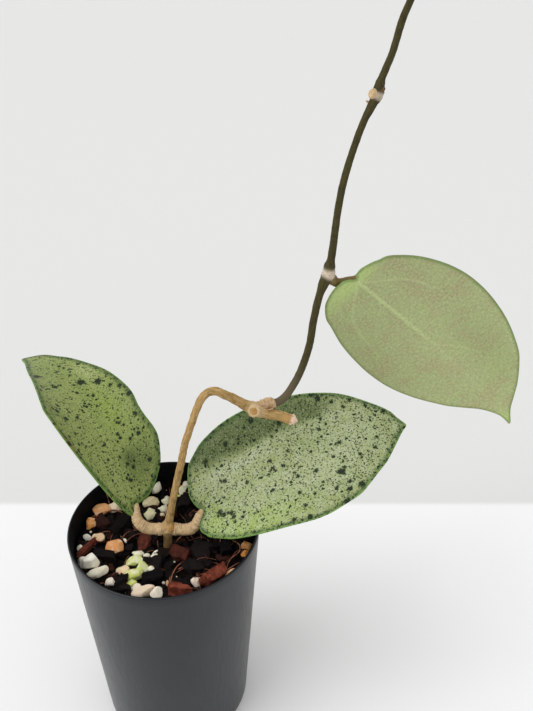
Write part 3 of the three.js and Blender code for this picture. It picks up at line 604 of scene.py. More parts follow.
def leaf_upper_group(flecks):
    """The upper skin of a blade: green, bloomed with silver, flecked dark, with pale veins, and painted light
    and shade from its tone and silver marks.
    """
    inputs = {**dict.fromkeys(SKIN_COLOURS, PLAIN_GREY), **dict.fromkeys(SKIN_AMOUNTS, 0.5)}
    given = new_group("leaf_upper_skin", inputs, ("Color", "Roughness", "Height"))
    green, bright, olive, silver, fleck_tone, rim_tone, edge_tone = (given[name] for name in SKIN_COLOURS)
    skin = painted("skin", "Vector")
    tone = painted("tone")
    rim = painted("rim")
    mottle = fuzz(skin, 0.28, 5.0, 0.62)
    grain = fuzz(skin, 1.5, 4.0, 0.68)
    # The skin's own bloom together with the silver marks, which in places are painted highlight.
    bloom_and_sheen = plus(times(stretch(mottle, 0.35, 0.68), given["Bloom"]), painted("silver"))
    bloom_and_sheen = times(bloom_and_sheen, stretch(grain, 0.25, 0.62, 0.35, 1.0))
    bloom_and_sheen = times(bloom_and_sheen, stretch(tone, -0.8, -0.1, 0.2, 1.0))
    vein = times(stretch(calc("ABSOLUTE", painted("rib")), 0.75, 0.1), painted("rib_fade"))
    fleck = place_group(flecks, {"Skin": skin, **{name: given[name] for name in SKIN_AMOUNTS[1:]}})
    # The tone layers are the leaf's own colour, with painted shade (olive) and painted light (bright) in
    # places.
    colour = layered(
        green,
        (stretch(tone, 0.0, 1.0), bright),
        (stretch(tone, 0.0, -1.0), olive),
        (calc("MINIMUM", bloom_and_sheen, 0.92), silver),
        (stretch(grain, 0.5, 0.38, 0.0, 0.6), olive),
        (stretch(grain, 0.52, 0.64, 0.0, 0.4), silver),
        (times(vein, 0.28), bright),
        (times(stretch(painted("nerve"), 0.9, 0.1), 0.08), bright),
        (times(painted("scar"), 0.9), srgb(150, 104, 66)),
        (times(stretch(rim, 2.6, 0.7), stretch(mottle, 0.35, 0.6, 0.3, 0.8)), rim_tone),
        (stretch(rim, 0.75, 0.35, 0.0, 0.7), edge_tone),
        (times(fleck["Dots"], 0.88), fleck_tone),
        (times(fleck["Spots"], 0.96), fleck_tone),
    )
    height = plus(times(grain, 0.6), times(fuzz(skin, 4.5, 2.0), 0.25))
    height = minus(height, times(fleck["Spots"], 0.25))
    return close_group(Color=colour, Roughness=stretch(bloom_and_sheen, 0.0, 1.0, 0.42, 0.54), Height=height)


def leaf_under_group():
    """The matt underside: pale olive, mottled brown, with pale raised veins and a green rim."""
    new_group("leaf_underside_skin", {}, ("Color", "Height"))
    skin = painted("skin", "Vector")
    tone = painted("tone")
    fine = fuzz(skin, 0.75, 5.0, 0.7)
    blend = plus(times(fuzz(skin, 0.11, 5.0, 0.65), 0.55), times(fine, 0.45))
    specks = stretch(fuzz(skin, 1.1, 4.0, 0.7), 0.5, 0.6)
    # The silver and tone marks are the upper skin's, so they carry its painted highlight and painted shade
    # here as well.
    pale = times(painted("silver"), stretch(fine, 0.4, 0.62))
    wander = times(minus(fine, 0.5), 0.8)
    nerve = stretch(plus(painted("nerve"), wander), 1.0, 0.1)
    rib = stretch(plus(calc("ABSOLUTE", painted("rib")), wander), 1.2, 0.2)
    colour = layered(
        UNDER_OLIVE,
        (times(stretch(blend, 0.47, 0.55), 0.6), UNDER_BROWN),
        (times(specks, 0.5), UNDER_VEIN),
        (times(pale, 0.6), UNDER_VEIN),
        (stretch(tone, 0.1, 1.0, 0.0, 0.85), UNDER_GREEN),
        (stretch(tone, -0.05, -0.6, 0.0, 0.35), UNDER_RIM),
        (times(nerve, 0.34), UNDER_VEIN),
        (times(times(rib, painted("rib_fade")), 0.7), UNDER_VEIN),
        (stretch(fuzz(skin, 1.0, 5.0, 0.7), 0.5, 0.4, 0.0, 0.26), UNDER_RIM),
        (times(stretch(plus(painted("rim"), times(wander, 1.6)), 1.5, 0.1), 0.6), UNDER_RIM),
    )
    return close_group(Color=colour, Height=plus(times(fine, 0.7), times(specks, 0.2)))


def leaf_upper_material(name, group):
    material = new_material(name + "_upper_skin")
    values = [srgb(*value) if isinstance(value, tuple) else value for value in LEAF_SKINS[name]]
    skin = place_group(group, dict(zip(SKIN_COLOURS + SKIN_AMOUNTS, values)))
    return close_material(material, skin["Color"], skin["Roughness"], 0.2, (skin["Height"], 0.00016),
                          weight=0.12, radius=(0.6, 1.0, 0.2), scale=0.001)


def leaf_under_material(name, group):
    material = new_material(name + "_underside_skin")
    skin = place_group(group, {})
    return close_material(material, skin["Color"], 0.62, 0.15, (skin["Height"], 0.00012),
                          weight=0.15, radius=(0.6, 1.0, 0.2), scale=0.001)


# ---------------------------------------------------------------- lines

SPAN_SAMPLES = 40
PATH_STEPS = 24


def curved(start, end, leave, arrive, t):
    """A point of the cubic that leaves the start and arrives at the end in the given directions."""
    bend = (2 * start - 2 * end + leave + arrive) * t**3
    bend += (-3 * start + 3 * end - 2 * leave - arrive) * t**2
    return bend + leave * t + start


def travel(line):
    """How far along the line each of its points lies."""
    return np.concatenate([[0], np.cumsum(np.linalg.norm(np.diff(line, axis=0), axis=1))])


def read_off(line, known, wanted):
    """The line's points at the wanted places, where its own points lie at the known ones."""
    return np.stack([np.interp(wanted, known, line[:, i]) for i in range(line.shape[1])], 1)


def headings(line):
    heading = np.gradient(line, axis=0)
    return heading / np.linalg.norm(heading, axis=1)[:, None]


def flat_curve(points, count=600):
    """A smooth curve through flat points, as evenly spaced samples."""
    points = [np.array(point, float) for point in points]
    last = len(points) - 1
    samples = []
    for span in range(last):
        start, end = points[span], points[span + 1]
        leave = (end - points[max(span - 1, 0)]) / 2
        arrive = (points[min(span + 2, last)] - start) / 2
        for t in np.linspace(0, 1, SPAN_SAMPLES, endpoint=span == last - 1):
            samples.append(curved(start, end, leave, arrive, t))
    samples = np.array(samples)
    travelled = travel(samples)
    return read_off(samples, travelled, np.linspace(0, travelled[-1], count))


def along_curve(curve, share):
    return read_off(curve, np.arange(len(curve)), share * (len(curve) - 1))


def distance_to(points, line):
    """The distance from each flat point to a line of samples."""
    nearest = np.full(len(points), 1e9)
    steps = line[1:] - line[:-1]
    lengths = np.maximum((steps**2).sum(1), 1e-12)
    for start, step, length in zip(line[:-1], steps, lengths):
        offset = points - start
        t = np.clip(offset @ step / length, 0, 1)
        nearest = np.minimum(nearest, ((offset - np.outer(t, step)) ** 2).sum(1))
    return np.sqrt(nearest)


def smooth_path(stations):
    """A smooth line through the stations, with its radius."""
    points = [np.array(station[:3], float) for station in stations]
    points = [2 * points[0] - points[1], *points, 2 * points[-1] - points[-2]]
    places = []
    radii = []
    for span in range(len(stations) - 1):
        before, start, end, after = points[span : span + 4]
        gaps = [np.sqrt(np.linalg.norm(b - a)) for a, b in ((before, start), (start, end), (end, after))]
        leave = (start - before) / gaps[0] - (end - before) / (gaps[0] + gaps[1]) + (end - start) / gaps[1]
        arrive = (end - start) / gaps[1] - (after - start) / (gaps[1] + gaps[2]) + (after - end) / gaps[2]
        radius, next_radius = stations[span][3], stations[span + 1][3]
        last = span == len(stations) - 2
        for t in np.linspace(0, 1, PATH_STEPS + 1)[: None if last else -1]:
            places.append(curved(start, end, leave * gaps[1], arrive * gaps[1], t))
            radii.append(radius + (next_radius - radius) * t * t * (3 - 2 * t))
    return np.array(places), np.array(radii)


def reach_of(stations, stem_node):
    """How far along the smooth line the node lies, in millimetres."""
    index = [station[:3] for station in stations].index(stem_node)
    return travel(smooth_path(stations)[0])[index * PATH_STEPS]


# ---------------------------------------------------------------- leaf blades

BLADE_COLUMNS = 120
BLADE_ROWS = 190
NERVE_REACH = 8.0
MARGIN_SLACK = 0.03


def set_out(curve, side):
    """The margin's curve moved out by the round edge, which stands a little outside the faces."""
    heading = headings(curve)
    return curve + side * (MARGIN_ROUND - MARGIN_SLACK) * np.column_stack([heading[:, 1], -heading[:, 0]])


def brushed(points, marks):
    total = np.zeros(len(points))
    for across, along, reach_across, reach_along, amount in marks:
        far = ((points[:, 0] - across) / reach_across) ** 2 + ((points[:, 1] - along) / reach_along) ** 2
        total += amount * np.exp(-far / 1.4)
    return total


def leaf_axes(leaf):
    base = np.array(leaf["base"])
    along = np.array(leaf["tip"]) - base
    length = np.linalg.norm(along)
    along = along / length
    level = np.cross(along, (0, 0, 1))
    level = level / np.linalg.norm(level)
    upright = np.cross(level, along)
    turn = math.radians(leaf["roll"])
    across = level * math.cos(turn) + upright * math.sin(turn)
    face = -level * math.sin(turn) + upright * math.cos(turn)
    return base, along, across, face, length


def blade(name, upper_skin, under_skin):
    """One leaf: two faces with veins and dimples in them, thin at a rounded margin."""
    leaf = LEAVES[name]
    base, along, across, face, length = leaf_axes(leaf)
    midrib = flat_curve(leaf["midrib"])
    near = set_out(flat_curve(leaf["near"]), -1)
    far = set_out(flat_curve(leaf["far"]), 1)
    top = fresh_grid(BLADE_COLUMNS, BLADE_ROWS)
    grid = points_of(top)
    sideways = np.abs(grid[:, 0])
    share = 0.25 * sideways + 0.75 * np.sin(sideways * math.pi / 2)
    step = (grid[:, 1] + 1) / 2
    row = 0.35 * step + 0.65 * (0.5 - 0.5 * np.cos(step * math.pi))
    middle = along_curve(midrib, row)
    side = np.where(grid[:, :1] < 0, along_curve(near, row), along_curve(far, row))
    flat = middle + (side - middle) * share[:, None]
    outline = np.concatenate([near[::-1], midrib[:1], far, midrib[-1:], near[-1:]])
    rim = distance_to(flat, outline[::3])
    edge = (sideways > 0.9999) | (step < 0.0001) | (step > 0.9999)
    rim = np.where(edge, 0, np.maximum(rim, 0.004))
    rib = flat[:, 0] - np.interp(flat[:, 1], midrib[:, 1], midrib[:, 0])
    nerve = np.full(len(flat), NERVE_REACH)
    for line in leaf["nerves"]:
        curve = flat_curve(line, 80)
        fade = 1.0 + 1.2 * ease(flat[:, 1], curve[-1, 1] * 0.5, curve[-1, 1])
        nerve = np.minimum(nerve, distance_to(flat, curve) * fade)
    blot = np.full(len(flat), -1.0)
    for x, y, radius in leaf["blots"]:
        blot = np.maximum(blot, 1 - np.hypot(flat[:, 0] - x, flat[:, 1] - y) / radius)
    t = flat[:, 1] / length
    spread = (flat[:, 0] / CUP_WIDTH) ** 2
    height = leaf["arch"] * 4 * t * (1 - t) + leaf["cup"] * spread
    height -= leaf["lobe_drop"] * spread * np.maximum(0, 1 - t) ** 5
    settle = ease(rim, 0, 5)
    rib_fade = 1 - 0.85 * ease(flat[:, 1], 22, 58)
    flat_3d = np.column_stack([flat, np.zeros(len(flat))])
    dimples = 0.16 * rough(flat_3d, 0.16, 1) + 0.05 * rough(flat_3d, 0.45, 2)
    height += settle * (brushed(flat, leaf["valleys"]) + dimples)
    groove = hill(rib, 0, 0.9) * rib_fade
    crease = hill(nerve, 0, 0.9)
    margin_round = MARGIN_THICKNESS / 2
    thick = margin_round + (BLADE_THICKNESS / 2 - margin_round) * ease(rim, 0, 14)
    thick *= np.sqrt(np.maximum(0, 1 - (1 - np.minimum(rim / margin_round, 1)) ** 2))
    upper = height + thick - settle * (0.28 * groove + 0.1 * crease)
    lower = height - thick - settle * (0.42 * groove + 0.14 * crease)
    under = copy_of(top)
    for piece, lift, skin in ((top, upper, upper_skin), (under, lower, under_skin)):
        place = base + np.outer(flat[:, 1], along) + np.outer(flat[:, 0], across) + np.outer(lift, face)
        put_points(piece, place * MM)
        # The tone and silver marks go on both faces. They hold painted shade and painted highlight as well as
        # the leaf's own colour.
        marks = {mark: brushed(flat, leaf.get(mark, [])) for mark in ("tone", "silver", "scar")}
        paint(piece, skin=flat_3d + np.array([31 * len(name), 0, 0]), rim=rim, rib=rib, rib_fade=rib_fade,
              nerve=nerve, blot=blot, **marks)
        wear(piece, skin)
    with editing(under) as mesh:
        mesh.flip_normals()
    whole = joined(name + "_blade", [top, under])
    with editing(whole) as mesh:
        mesh.remove_doubles(threshold=WELD)
    finish_piece(whole, name, name)


# ---------------------------------------------------------------- stems


def sweep(name, stations, sides, pitch, relief, round_ends):
    """A stem: a sheet rolled round a smooth line. `relief` adds height by angle and distance."""
    places, radii = smooth_path(stations)
    travelled = travel(places)
    length = travelled[-1]
    rows = int(length / pitch)
    even = np.linspace(0, length, rows + 1)
    line = read_off(places, travelled, even)
    radius = np.interp(even, travelled, radii)
    for gone, reach in zip((even, length - even), round_ends):
        radius = radius * np.sqrt(np.maximum(0.02, 1 - (1 - np.minimum(gone / reach, 1)) ** 2))
    heading = headings(line)
    side = np.array([0.0, 1.0, 0.0])
    sides_at = []
    for direction in heading:
        side = side - direction * side.dot(direction)
        side = side / np.linalg.norm(side)
        sides_at.append(side)
    sides_at = np.array(sides_at)
    others_at = np.cross(heading, sides_at)
    piece = fresh_grid(sides, rows)
    grid = points_of(piece)
    angle = grid[:, 0] * math.pi
    row = np.rint((grid[:, 1] + 1) / 2 * rows).astype(int)
    distance = even[row]
    reach = radius[row]
    around = np.column_stack([np.cos(angle), np.sin(angle)])
    outward = sides_at[row] * around[:, :1] + others_at[row] * around[:, 1:]
    place = line[row] + outward * reach[:, None]
    place = place + outward * (relief(place, around, distance, length) * np.minimum(reach, 1))[:, None]
    put_points(piece, place * MM)
    paint(piece, grain=np.column_stack([around * np.maximum(reach, 1)[:, None], distance]), distance=distance)
    with editing(piece) as mesh:
        mesh.remove_doubles(threshold=STEM_WELD)
        mesh.select_all(action="DESELECT")
        mesh.select_non_manifold()
        mesh.fill_holes(sides=0)
        mesh.select_all(action="SELECT")
        mesh.normals_make_consistent(inside=False)
    return name_piece(piece, name)


def ridged(around, count, height, twist, distance):
    """Low ridges along a stem, which wind slowly round it."""
    return height * np.sin(np.arctan2(around[:, 1], around[:, 0]) * count + distance * twist)


def bark_group():
    """Young bark: fine streaks along the stem, pale pores and darker patches."""
    inputs = {**dict.fromkeys(("Light", "Middle", "Dark"), PLAIN_GREY), "Streak": 0.5, "Patch": 0.5}
    given = new_group("young_bark", inputs, ("Color", "Roughness", "Height"))
    grain = painted("grain", "Vector")
    streaks = fuzz(scaled(grain, (1.0, 1.0, 0.13)), 2.4, 5.0, 0.65)
    patches = fuzz(grain, 0.35, 4.0, 0.6)
    specks = fuzz(grain, 3.2, 2.0, 0.6)
    pores = cells(scaled(grain, (1.0, 1.0, 0.55)), 1.0)["Distance"]
    colour = layered(
        given["Middle"],
        (times(stretch(streaks, 0.42, 0.66), given["Streak"]), given["Light"]),
        (times(stretch(patches, 0.5, 0.72), given["Patch"]), given["Dark"]),
        (stretch(specks, 0.54, 0.68, 0.0, 0.65), given["Dark"]),
        (stretch(pores, 0.16, 0.06, 0.0, 0.5), given["Light"]),
    )
    height = plus(plus(streaks, times(stretch(pores, 0.2, 0.05), 0.5)), times(specks, 0.4))
    return close_group(Color=colour, Roughness=stretch(streaks, 0.3, 0.7, 0.62, 0.8), Height=height)


def old_stem_stains():
    """Paler joints, a darker foot, an orange stain and a pale torn face at the cut end."""
    blur = fuzz(object_mm(), 0.9, 3.0)
    return [
        (times(painted("knuckle"), 0.6), srgb(208, 182, 142)),
        (painted("low"), srgb(84, 60, 36)),
        (times(painted("knob"), 0.7), srgb(190, 134, 70)),
        (times(painted("stain"), stretch(blur, 0.3, 0.6, 0.0, 0.5)), srgb(206, 156, 96)),
        (times(painted("torn"), stretch(blur, 0.25, 0.5)), srgb(236, 204, 182)),
    ]


def petiole_wrinkles():
    """Fine wrinkles across the stalk: pale and dark bands, partly the stalk's own colour and partly painted
    light on the ridges and painted shade between them.
    """
    wrinkle = fuzz(scaled(painted("grain", "Vector"), (0.35, 0.35, 2.2)), 1.2, 3.0, 0.6)
    # The pale bands are partly painted highlight, the dark ones partly painted shade.
    return [
        (stretch(wrinkle, 0.5, 0.7, 0.0, 0.45), srgb(222, 200, 170)),
        (stretch(wrinkle, 0.5, 0.34, 0.0, 0.6), srgb(128, 98, 66)),
    ]


def vine_ages():
    """Greyer near the old wood, whitish at the nodes, greener at the tip."""
    spots = fuzz(painted("grain", "Vector"), 1.6, 3.0, 0.65)
    return [
        (times(painted("grey"), 0.75), srgb(104, 92, 74)),
        (times(painted("collar"), stretch(spots, 0.2, 0.5)), srgb(206, 190, 168)),
        (times(painted("fresh"), 0.7), srgb(104, 112, 60)),
    ]


# Each bark: light, middle and dark tone, streaks, patches, relief in metres, and what lies over it.
BARKS = {
    "old_stem_bark": ((208, 176, 124), (162, 130, 78), (98, 76, 42), 0.75, 0.6, 0.00012, old_stem_stains),
    "pale_scar_bark": ((222, 200, 164), (196, 168, 126), (150, 116, 76), 0.6, 0.3, 0.00012, None),
    "ochre_scar": ((200, 162, 104), (172, 132, 78), (124, 90, 50), 0.6, 0.3, 0.00012, None),
    "dry_scale": ((220, 194, 158), (186, 156, 118), (132, 102, 74), 0.6, 0.3, 0.00012, None),
    "brown_bud": ((142, 112, 74), (96, 72, 46), (56, 40, 28), 0.6, 0.3, 0.00012, None),
    "petiole_skin": ((228, 202, 160), (200, 171, 128), (150, 120, 84), 0.55, 0.2, 0.0001, petiole_wrinkles),
    "young_petiole_skin": ((150, 134, 88), (122, 104, 66), (86, 58, 44), 0.5, 0.4, 0.00012, None),
    "vine_bark": ((90, 84, 45), (61, 56, 30), (38, 30, 20), 0.5, 0.5, 0.00012, vine_ages),
}


def bark_material(name, group):
    light, middle, dark, streak, patch, relief, marks = BARKS[name]
    material = new_material(name)
    tones = {"Light": srgb(*light), "Middle": srgb(*middle), "Dark": srgb(*dark)}
    skin = place_group(group, {**tones, "Streak": streak, "Patch": patch})
    colour = layered(skin["Color"], *(marks() if marks else []))
    return close_material(material, colour, skin["Roughness"], 0.15, (skin["Height"], relief))


# ---------------------------------------------------------------- pot

POT_SIDES = 160
HOLE_SIDES = 40
DRILL_DEPTH = 0.01
SCUFF_DEPTH = 0.09


def pot_radius(z):
    return POT_BASE_RADIUS + (POT_TOP_RADIUS - POT_BASE_RADIUS) * z / POT_HEIGHT


def mix_radius(z):
    return pot_radius(z) - POT_WALL - MIX_CLEARANCE


def lathe(profile, steps):
    """Draws a profile of (radius, height) from one point, edge by edge, and spins it round."""
    piece = fresh(bpy.ops.mesh.primitive_plane_add, size=0.01)
    with editing(piece) as mesh:
        mesh.merge(type="CENTER")
        bpy.ops.transform.translate(value=(profile[0][0] * MM, 0, profile[0][1] * MM))
        for before, after in zip(profile, profile[1:]):
            step = ((after[0] - before[0]) * MM, 0, (after[1] - before[1]) * MM)
            mesh.extrude_region_move(TRANSFORM_OT_translate={"value": step})
        mesh.select_all(action="SELECT")
        mesh.spin(steps=steps, angle=FULL_TURN, center=(0, 0, 0), axis=(0, 0, 1))
        mesh.select_all(action="SELECT")
        mesh.remove_doubles(threshold=WELD)
        mesh.normals_make_consistent(inside=False)
    return piece


def pot_profile():
    """From the middle of the base up the outside, over the lip and down the ribbed inside."""
    foot = pot_radius(0) - POT_CORNER
    profile = [(0, 0), (6.0, 0), (6.3, 0.3), (7.2, 0.3), (7.5, 0), (foot - 1.2, 0), (foot, 0)]
    for degrees in (20, 40, 60, 80):
        turn = math.radians(degrees)
        profile.append((foot + POT_CORNER * math.sin(turn), POT_CORNER * (1 - math.cos(turn))))
    profile += [(pot_radius(height), height) for height in (2, 6, 20, 40, 60, 80, 92, 97)]
    lip = POT_WALL / 2
    middle = pot_radius(POT_HEIGHT - lip) - lip
    for degrees in (0, 25, 50, 75, 90, 105, 130, 155, 180):
        turn = math.radians(degrees)
        profile.append((middle + lip * math.cos(turn), POT_HEIGHT - lip + lip * math.sin(turn)))
    height = POT_HEIGHT - 2.4
    while height > MIX_TOP - 4:
        inside = pot_radius(height) - POT_WALL
        profile += [(inside, height), (inside + SCUFF_DEPTH, height - 0.35), (inside, height - 0.7)]
        height -= 1.35
    profile += [(pot_radius(height) - POT_WALL, height) for height in (70, 40, 12, 4)]
    return profile + [(pot_radius(POT_FLOOR) - POT_WALL - 1.0, POT_FLOOR), (0, POT_FLOOR)]


def make_pot(skin, shaded_inner_skin):
    pot = lathe(pot_profile(), POT_SIDES)
    drills = []
    for hole in range(DRAIN_HOLES):
        angle = hole / DRAIN_HOLES * 2 * math.pi
        place = (DRAIN_HOLE_CIRCLE * MM * math.cos(angle), DRAIN_HOLE_CIRCLE * MM * math.sin(angle), 0)
        drills.append(fresh(bpy.ops.mesh.primitive_cylinder_add, vertices=HOLE_SIDES,
                            radius=DRAIN_HOLE_RADIUS * MM, depth=DRILL_DEPTH, location=place))
    drill = joined("drain_drill", drills)
    only(pot)
    cut = pot.modifiers.new("drain_holes", "BOOLEAN")
    cut.operation = "DIFFERENCE"
    cut.object = drill
    bpy.ops.object.modifier_apply(modifier=cut.name)
    bpy.data.objects.remove(drill)
    wear(name_piece(pot, "nursery_pot"), skin, shaded_inner_skin)
    # Faces on the inner wall take the second material, the darker copy that is painted shade.
    for face in pot.data.polygons:
        centre = face.center / MM
        wall_middle = pot_radius(centre.z) - POT_WALL / 2
        if centre.z > POT_FLOOR / 2 and math.hypot(centre.x, centre.y) < wall_middle:
            face.material_index = 1
    finish_piece(pot, "pot", "pot", crease=40)


def pot_material():
    """Satin charcoal plastic with a faint orange-peel and hair-fine scuffs."""
    material = new_material("charcoal_plastic")
    place = object_mm()
    colour = mix(stretch(fuzz(place, 0.05, 3.0), 0.3, 0.7), srgb(13, 18, 24), srgb(17, 23, 29))
    colour = mix(stretch(fuzz(place, 2.6, 4.0, 0.7), 0.66, 0.8, 0.0, 0.12), colour, srgb(96, 97, 96))
    scuffs = fuzz(scaled(place, (1.0, 1.0, 0.08)), 0.9, 5.0, 0.7)
    return close_material(material, colour, stretch(scuffs, 0.35, 0.7, 0.30, 0.38), 0.4,
                          (fuzz(place, 1.2, 2.0), 0.00002))


def pot_inside_shade_material():
    """The same plastic on the inner wall as a darker, duller copy with weak reflections: painted shade,
    mottled.
    """
    material = new_material("shaded_inner_plastic")
    shade_mottle = fuzz(object_mm(), 1.1, 4.0, 0.6)
    return close_material(material, mix(stretch(shade_mottle, 0.45, 0.7), srgb(6, 8, 12), srgb(20, 20, 22)), 0.6, 0.1)


# ---------------------------------------------------------------- potting mix

BED_CELLS = 190
BED_CRUMBS = ((1.1, 0.22, 3), (0.45, 1.2, 5), (0.22, 2.4, 6))
STONE_BLANKS = 7
CHIP_BLANKS = 8
GRIT_BLANKS = 5
STONE_SEED = 41
CHIP_SEED = 17
SMALL_CHIP_SEED = 40
SHARD_SEED = 21
FIBRE_SEED = 5
GRIT_COUNT = 40
GRIT_REACH = 34.3
SMALL_CHIPS = 330
CHIP_REACH = 33.4
STEM_AT_MIX = (0.5, -0.7)
STEM_CLEARING = 3.2
LOOSE_FIBRES = 70
FIBRE_REACH = 33


def mix_lump(x, y):
    broad = np.sin(x * 0.31 + 0.6) * np.cos(y * 0.27 - 0.4)
    fine = 0.5 * np.sin(x * 0.63 - y * 0.55)
    return MIX_LUMP * (broad + fine)


def mix_level(x, y):
    """The mean height of the mix: a shallow dish, lowest at the stem."""
    share = np.minimum(np.hypot(x, y) / mix_radius(MIX_TOP + MIX_HEAP), 1)
    return MIX_TOP + MIX_HEAP * share**2


def mix_surface(x, y):
    return mix_level(x, y) + mix_lump(x, y)


def on_the_mix(x, y, lift):
    return Matrix.Translation((x * MM, y * MM, (mix_surface(x, y) + lift) * MM))


def about(axis, degrees):
    return Matrix.Rotation(math.radians(degrees), 4, axis)


def sized(width, depth, height):
    return Matrix.Diagonal((width * MM, depth * MM, height * MM, 1))


def somewhere(draw, reach):
    """A place drawn at random, evenly over a disc."""
    angle = draw.uniform(0, FULL_TURN)
    radius = reach * math.sqrt(draw.random())
    return radius * math.cos(angle), radius * math.sin(angle)


def mix_bed(skin):
    """The bed of fines, crumbly on top and straight-sided in the pot."""
    bed = name_piece(fresh_grid(BED_CELLS, BED_CELLS), "mix_bed")
    grid = points_of(bed)
    x = grid[:, 0] * np.sqrt(1 - grid[:, 1] ** 2 / 2)
    y = grid[:, 1] * np.sqrt(1 - grid[:, 0] ** 2 / 2)
    edge = np.hypot(x, y)
    wall_top = MIX_TOP + MIX_HEAP
    radius = mix_radius(wall_top)
    flat = np.column_stack([x * radius, y * radius, np.zeros(len(x))])
    crumbs = sum(height * rough(flat, scale, seed) for height, scale, seed in BED_CRUMBS)
    crumbs += 0.8 * np.abs(rough(flat, 0.55, 4))
    lift = (mix_lump(flat[:, 0], flat[:, 1]) + crumbs - 0.5) * (1 - ease(edge, 0.985, 1.0))
    level = mix_level(flat[:, 0], flat[:, 1])
    put_points(bed, np.column_stack([flat[:, 0], flat[:, 1], level + lift]) * MM)
    shrink = mix_radius(MIX_FLOOR) / radius
    with editing(bed, "DESELECT") as mesh:
        mesh.select_non_manifold()
        drop = (wall_top - MIX_FLOOR) * MM
        mesh.extrude_region_move(TRANSFORM_OT_translate={"value": (0, 0, -drop)})
        bpy.ops.transform.resize(value=(shrink, shrink, 1), center_override=(0, 0, 0))
        mesh.fill_holes(sides=0)
        mesh.select_all(action="SELECT")
        mesh.normals_make_consistent(inside=False)
    finish_piece(bed, "potting_mix", "potting_mix", skin=skin, crease=60)


def faceted(points, draw, facets, upward, farthest, press):
    """Presses facets into the points, from sides drawn at random."""
    for _ in range(facets):
        direction = np.array([draw.gauss(0, 1), draw.gauss(0, 1), draw.gauss(0, upward)])
        direction /= np.linalg.norm(direction)
        beyond = np.maximum(points @ direction - draw.uniform(0.34, farthest), 0)
        points = points - np.outer(beyond * press, direction)
    return points


def stone_blank(seed):
    """A pebble about one unit across: a ball with facets pressed into it and a pitted skin."""
    blank = fresh(bpy.ops.mesh.primitive_ico_sphere_add, subdivisions=4, radius=0.56)
    points = faceted(points_of(blank), random.Random(seed), 9, 1, 0.47, 0.93)
    out = points / np.linalg.norm(points, axis=1)[:, None]
    pits = rough(points, 4.0, seed) * 0.035 + rough(points, 12.0, seed + 0.5) * 0.007
    put_points(blank, points + out * pits[:, None])
    return blank


def grit_blank(seed):
    grain = fresh(bpy.ops.mesh.primitive_ico_sphere_add, subdivisions=2, radius=1.0)
    points = points_of(grain)
    put_points(grain, points * (1 + 0.28 * rough(points, 1.6, seed))[:, None])
    return grain


def chip_blank(seed, cuts=5):
    """A flake of bark about one unit long: a torn, layered slab."""
    chip = fresh(bpy.ops.mesh.primitive_cube_add, size=1)
    with editing(chip) as mesh:
        mesh.subdivide(number_cuts=cuts)
    points = faceted(points_of(chip), random.Random(seed), 5, 0.35, 0.5, 0.9)
    layers = np.sin(points[:, 2] * 26 + 3 * rough(points, 2.2, seed)) * 0.02
    torn = np.column_stack([rough(points, 3.2, seed + i) for i in (0.1, 0.4, 0.7)])
    points = points + torn * np.array([0.13, 0.13, 0.1])
    out = points * np.array([1, 1, 0])
    out /= np.maximum(np.linalg.norm(out, axis=1), 1e-6)[:, None]
    put_points(chip, points + out * layers[:, None])
    return chip


def keep_in_pot(pieces):
    """Draws in whatever reaches past the mix's edge, where it leans on the wall."""
    for piece in pieces:
        points = points_of(piece)
        out = np.hypot(points[:, 0], points[:, 1])
        limit = (mix_radius(points[:, 2] / MM) - 0.05) * MM
        share = np.where(out > limit, limit / np.maximum(out, 1e-9), 1)
        points[:, :2] *= share[:, None]
        put_points(piece, points)


def pumice_stones(skin):
    """The pale stones, each in its place, and small grit scattered between them."""
    draw = random.Random(STONE_SEED)
    blanks = [stone_blank(seed) for seed in range(STONE_BLANKS)]
    stones = []
    for index, (x, y, width, depth, height, turn, orange, green) in enumerate(STONES + SLIVERS):
        stone = copy_of(blanks[index % STONE_BLANKS])
        flip = Matrix.Rotation(draw.uniform(0, 6), 4, "X") @ Matrix.Rotation(draw.uniform(0, 6), 4, "Y")
        tilt = about("X", draw.uniform(-12, 12))
        place = on_the_mix(x, y, height * PIECE_LIFT) @ about("Z", turn)
        stone.data.transform(place @ tilt @ sized(width, depth, height) @ flip)
        paint(stone, orange=orange, green=green, shade=draw.random())
        stones.append(stone)
    keep_in_pot(stones)
    finish_piece(joined("pumice_stones", stones), "potting_mix", skin=skin)
    grit = []
    for index in range(GRIT_COUNT):
        x, y = somewhere(draw, GRIT_REACH)
        size = draw.choice((0.5, 0.7, 0.9, 1.2))
        if index < GRIT_BLANKS:
            grain = grit_blank(index)
        else:
            grain = copy_of(grit[index % GRIT_BLANKS])
            points = points_of(grain)
            points = points - points.mean(0)
            put_points(grain, points / np.abs(points).max())
        spin = Matrix.Rotation(draw.uniform(0, 6), 4, "Z") @ Matrix.Rotation(draw.uniform(0, 6), 4, "X")
        grain.data.transform(on_the_mix(x, y, 0.5) @ spin @ Matrix.Scale(size * 0.5 * MM, 4))
        orange = draw.choice((0, 0.2, 0.5, 0.9))
        paint(grain, orange=orange, green=draw.choice((0, 0, 0.3)), shade=draw.random())
        grit.append(grain)
    finish_piece(joined("pumice_grit", grit), "potting_mix", skin=skin)
    for blank in blanks:
        bpy.data.objects.remove(blank)


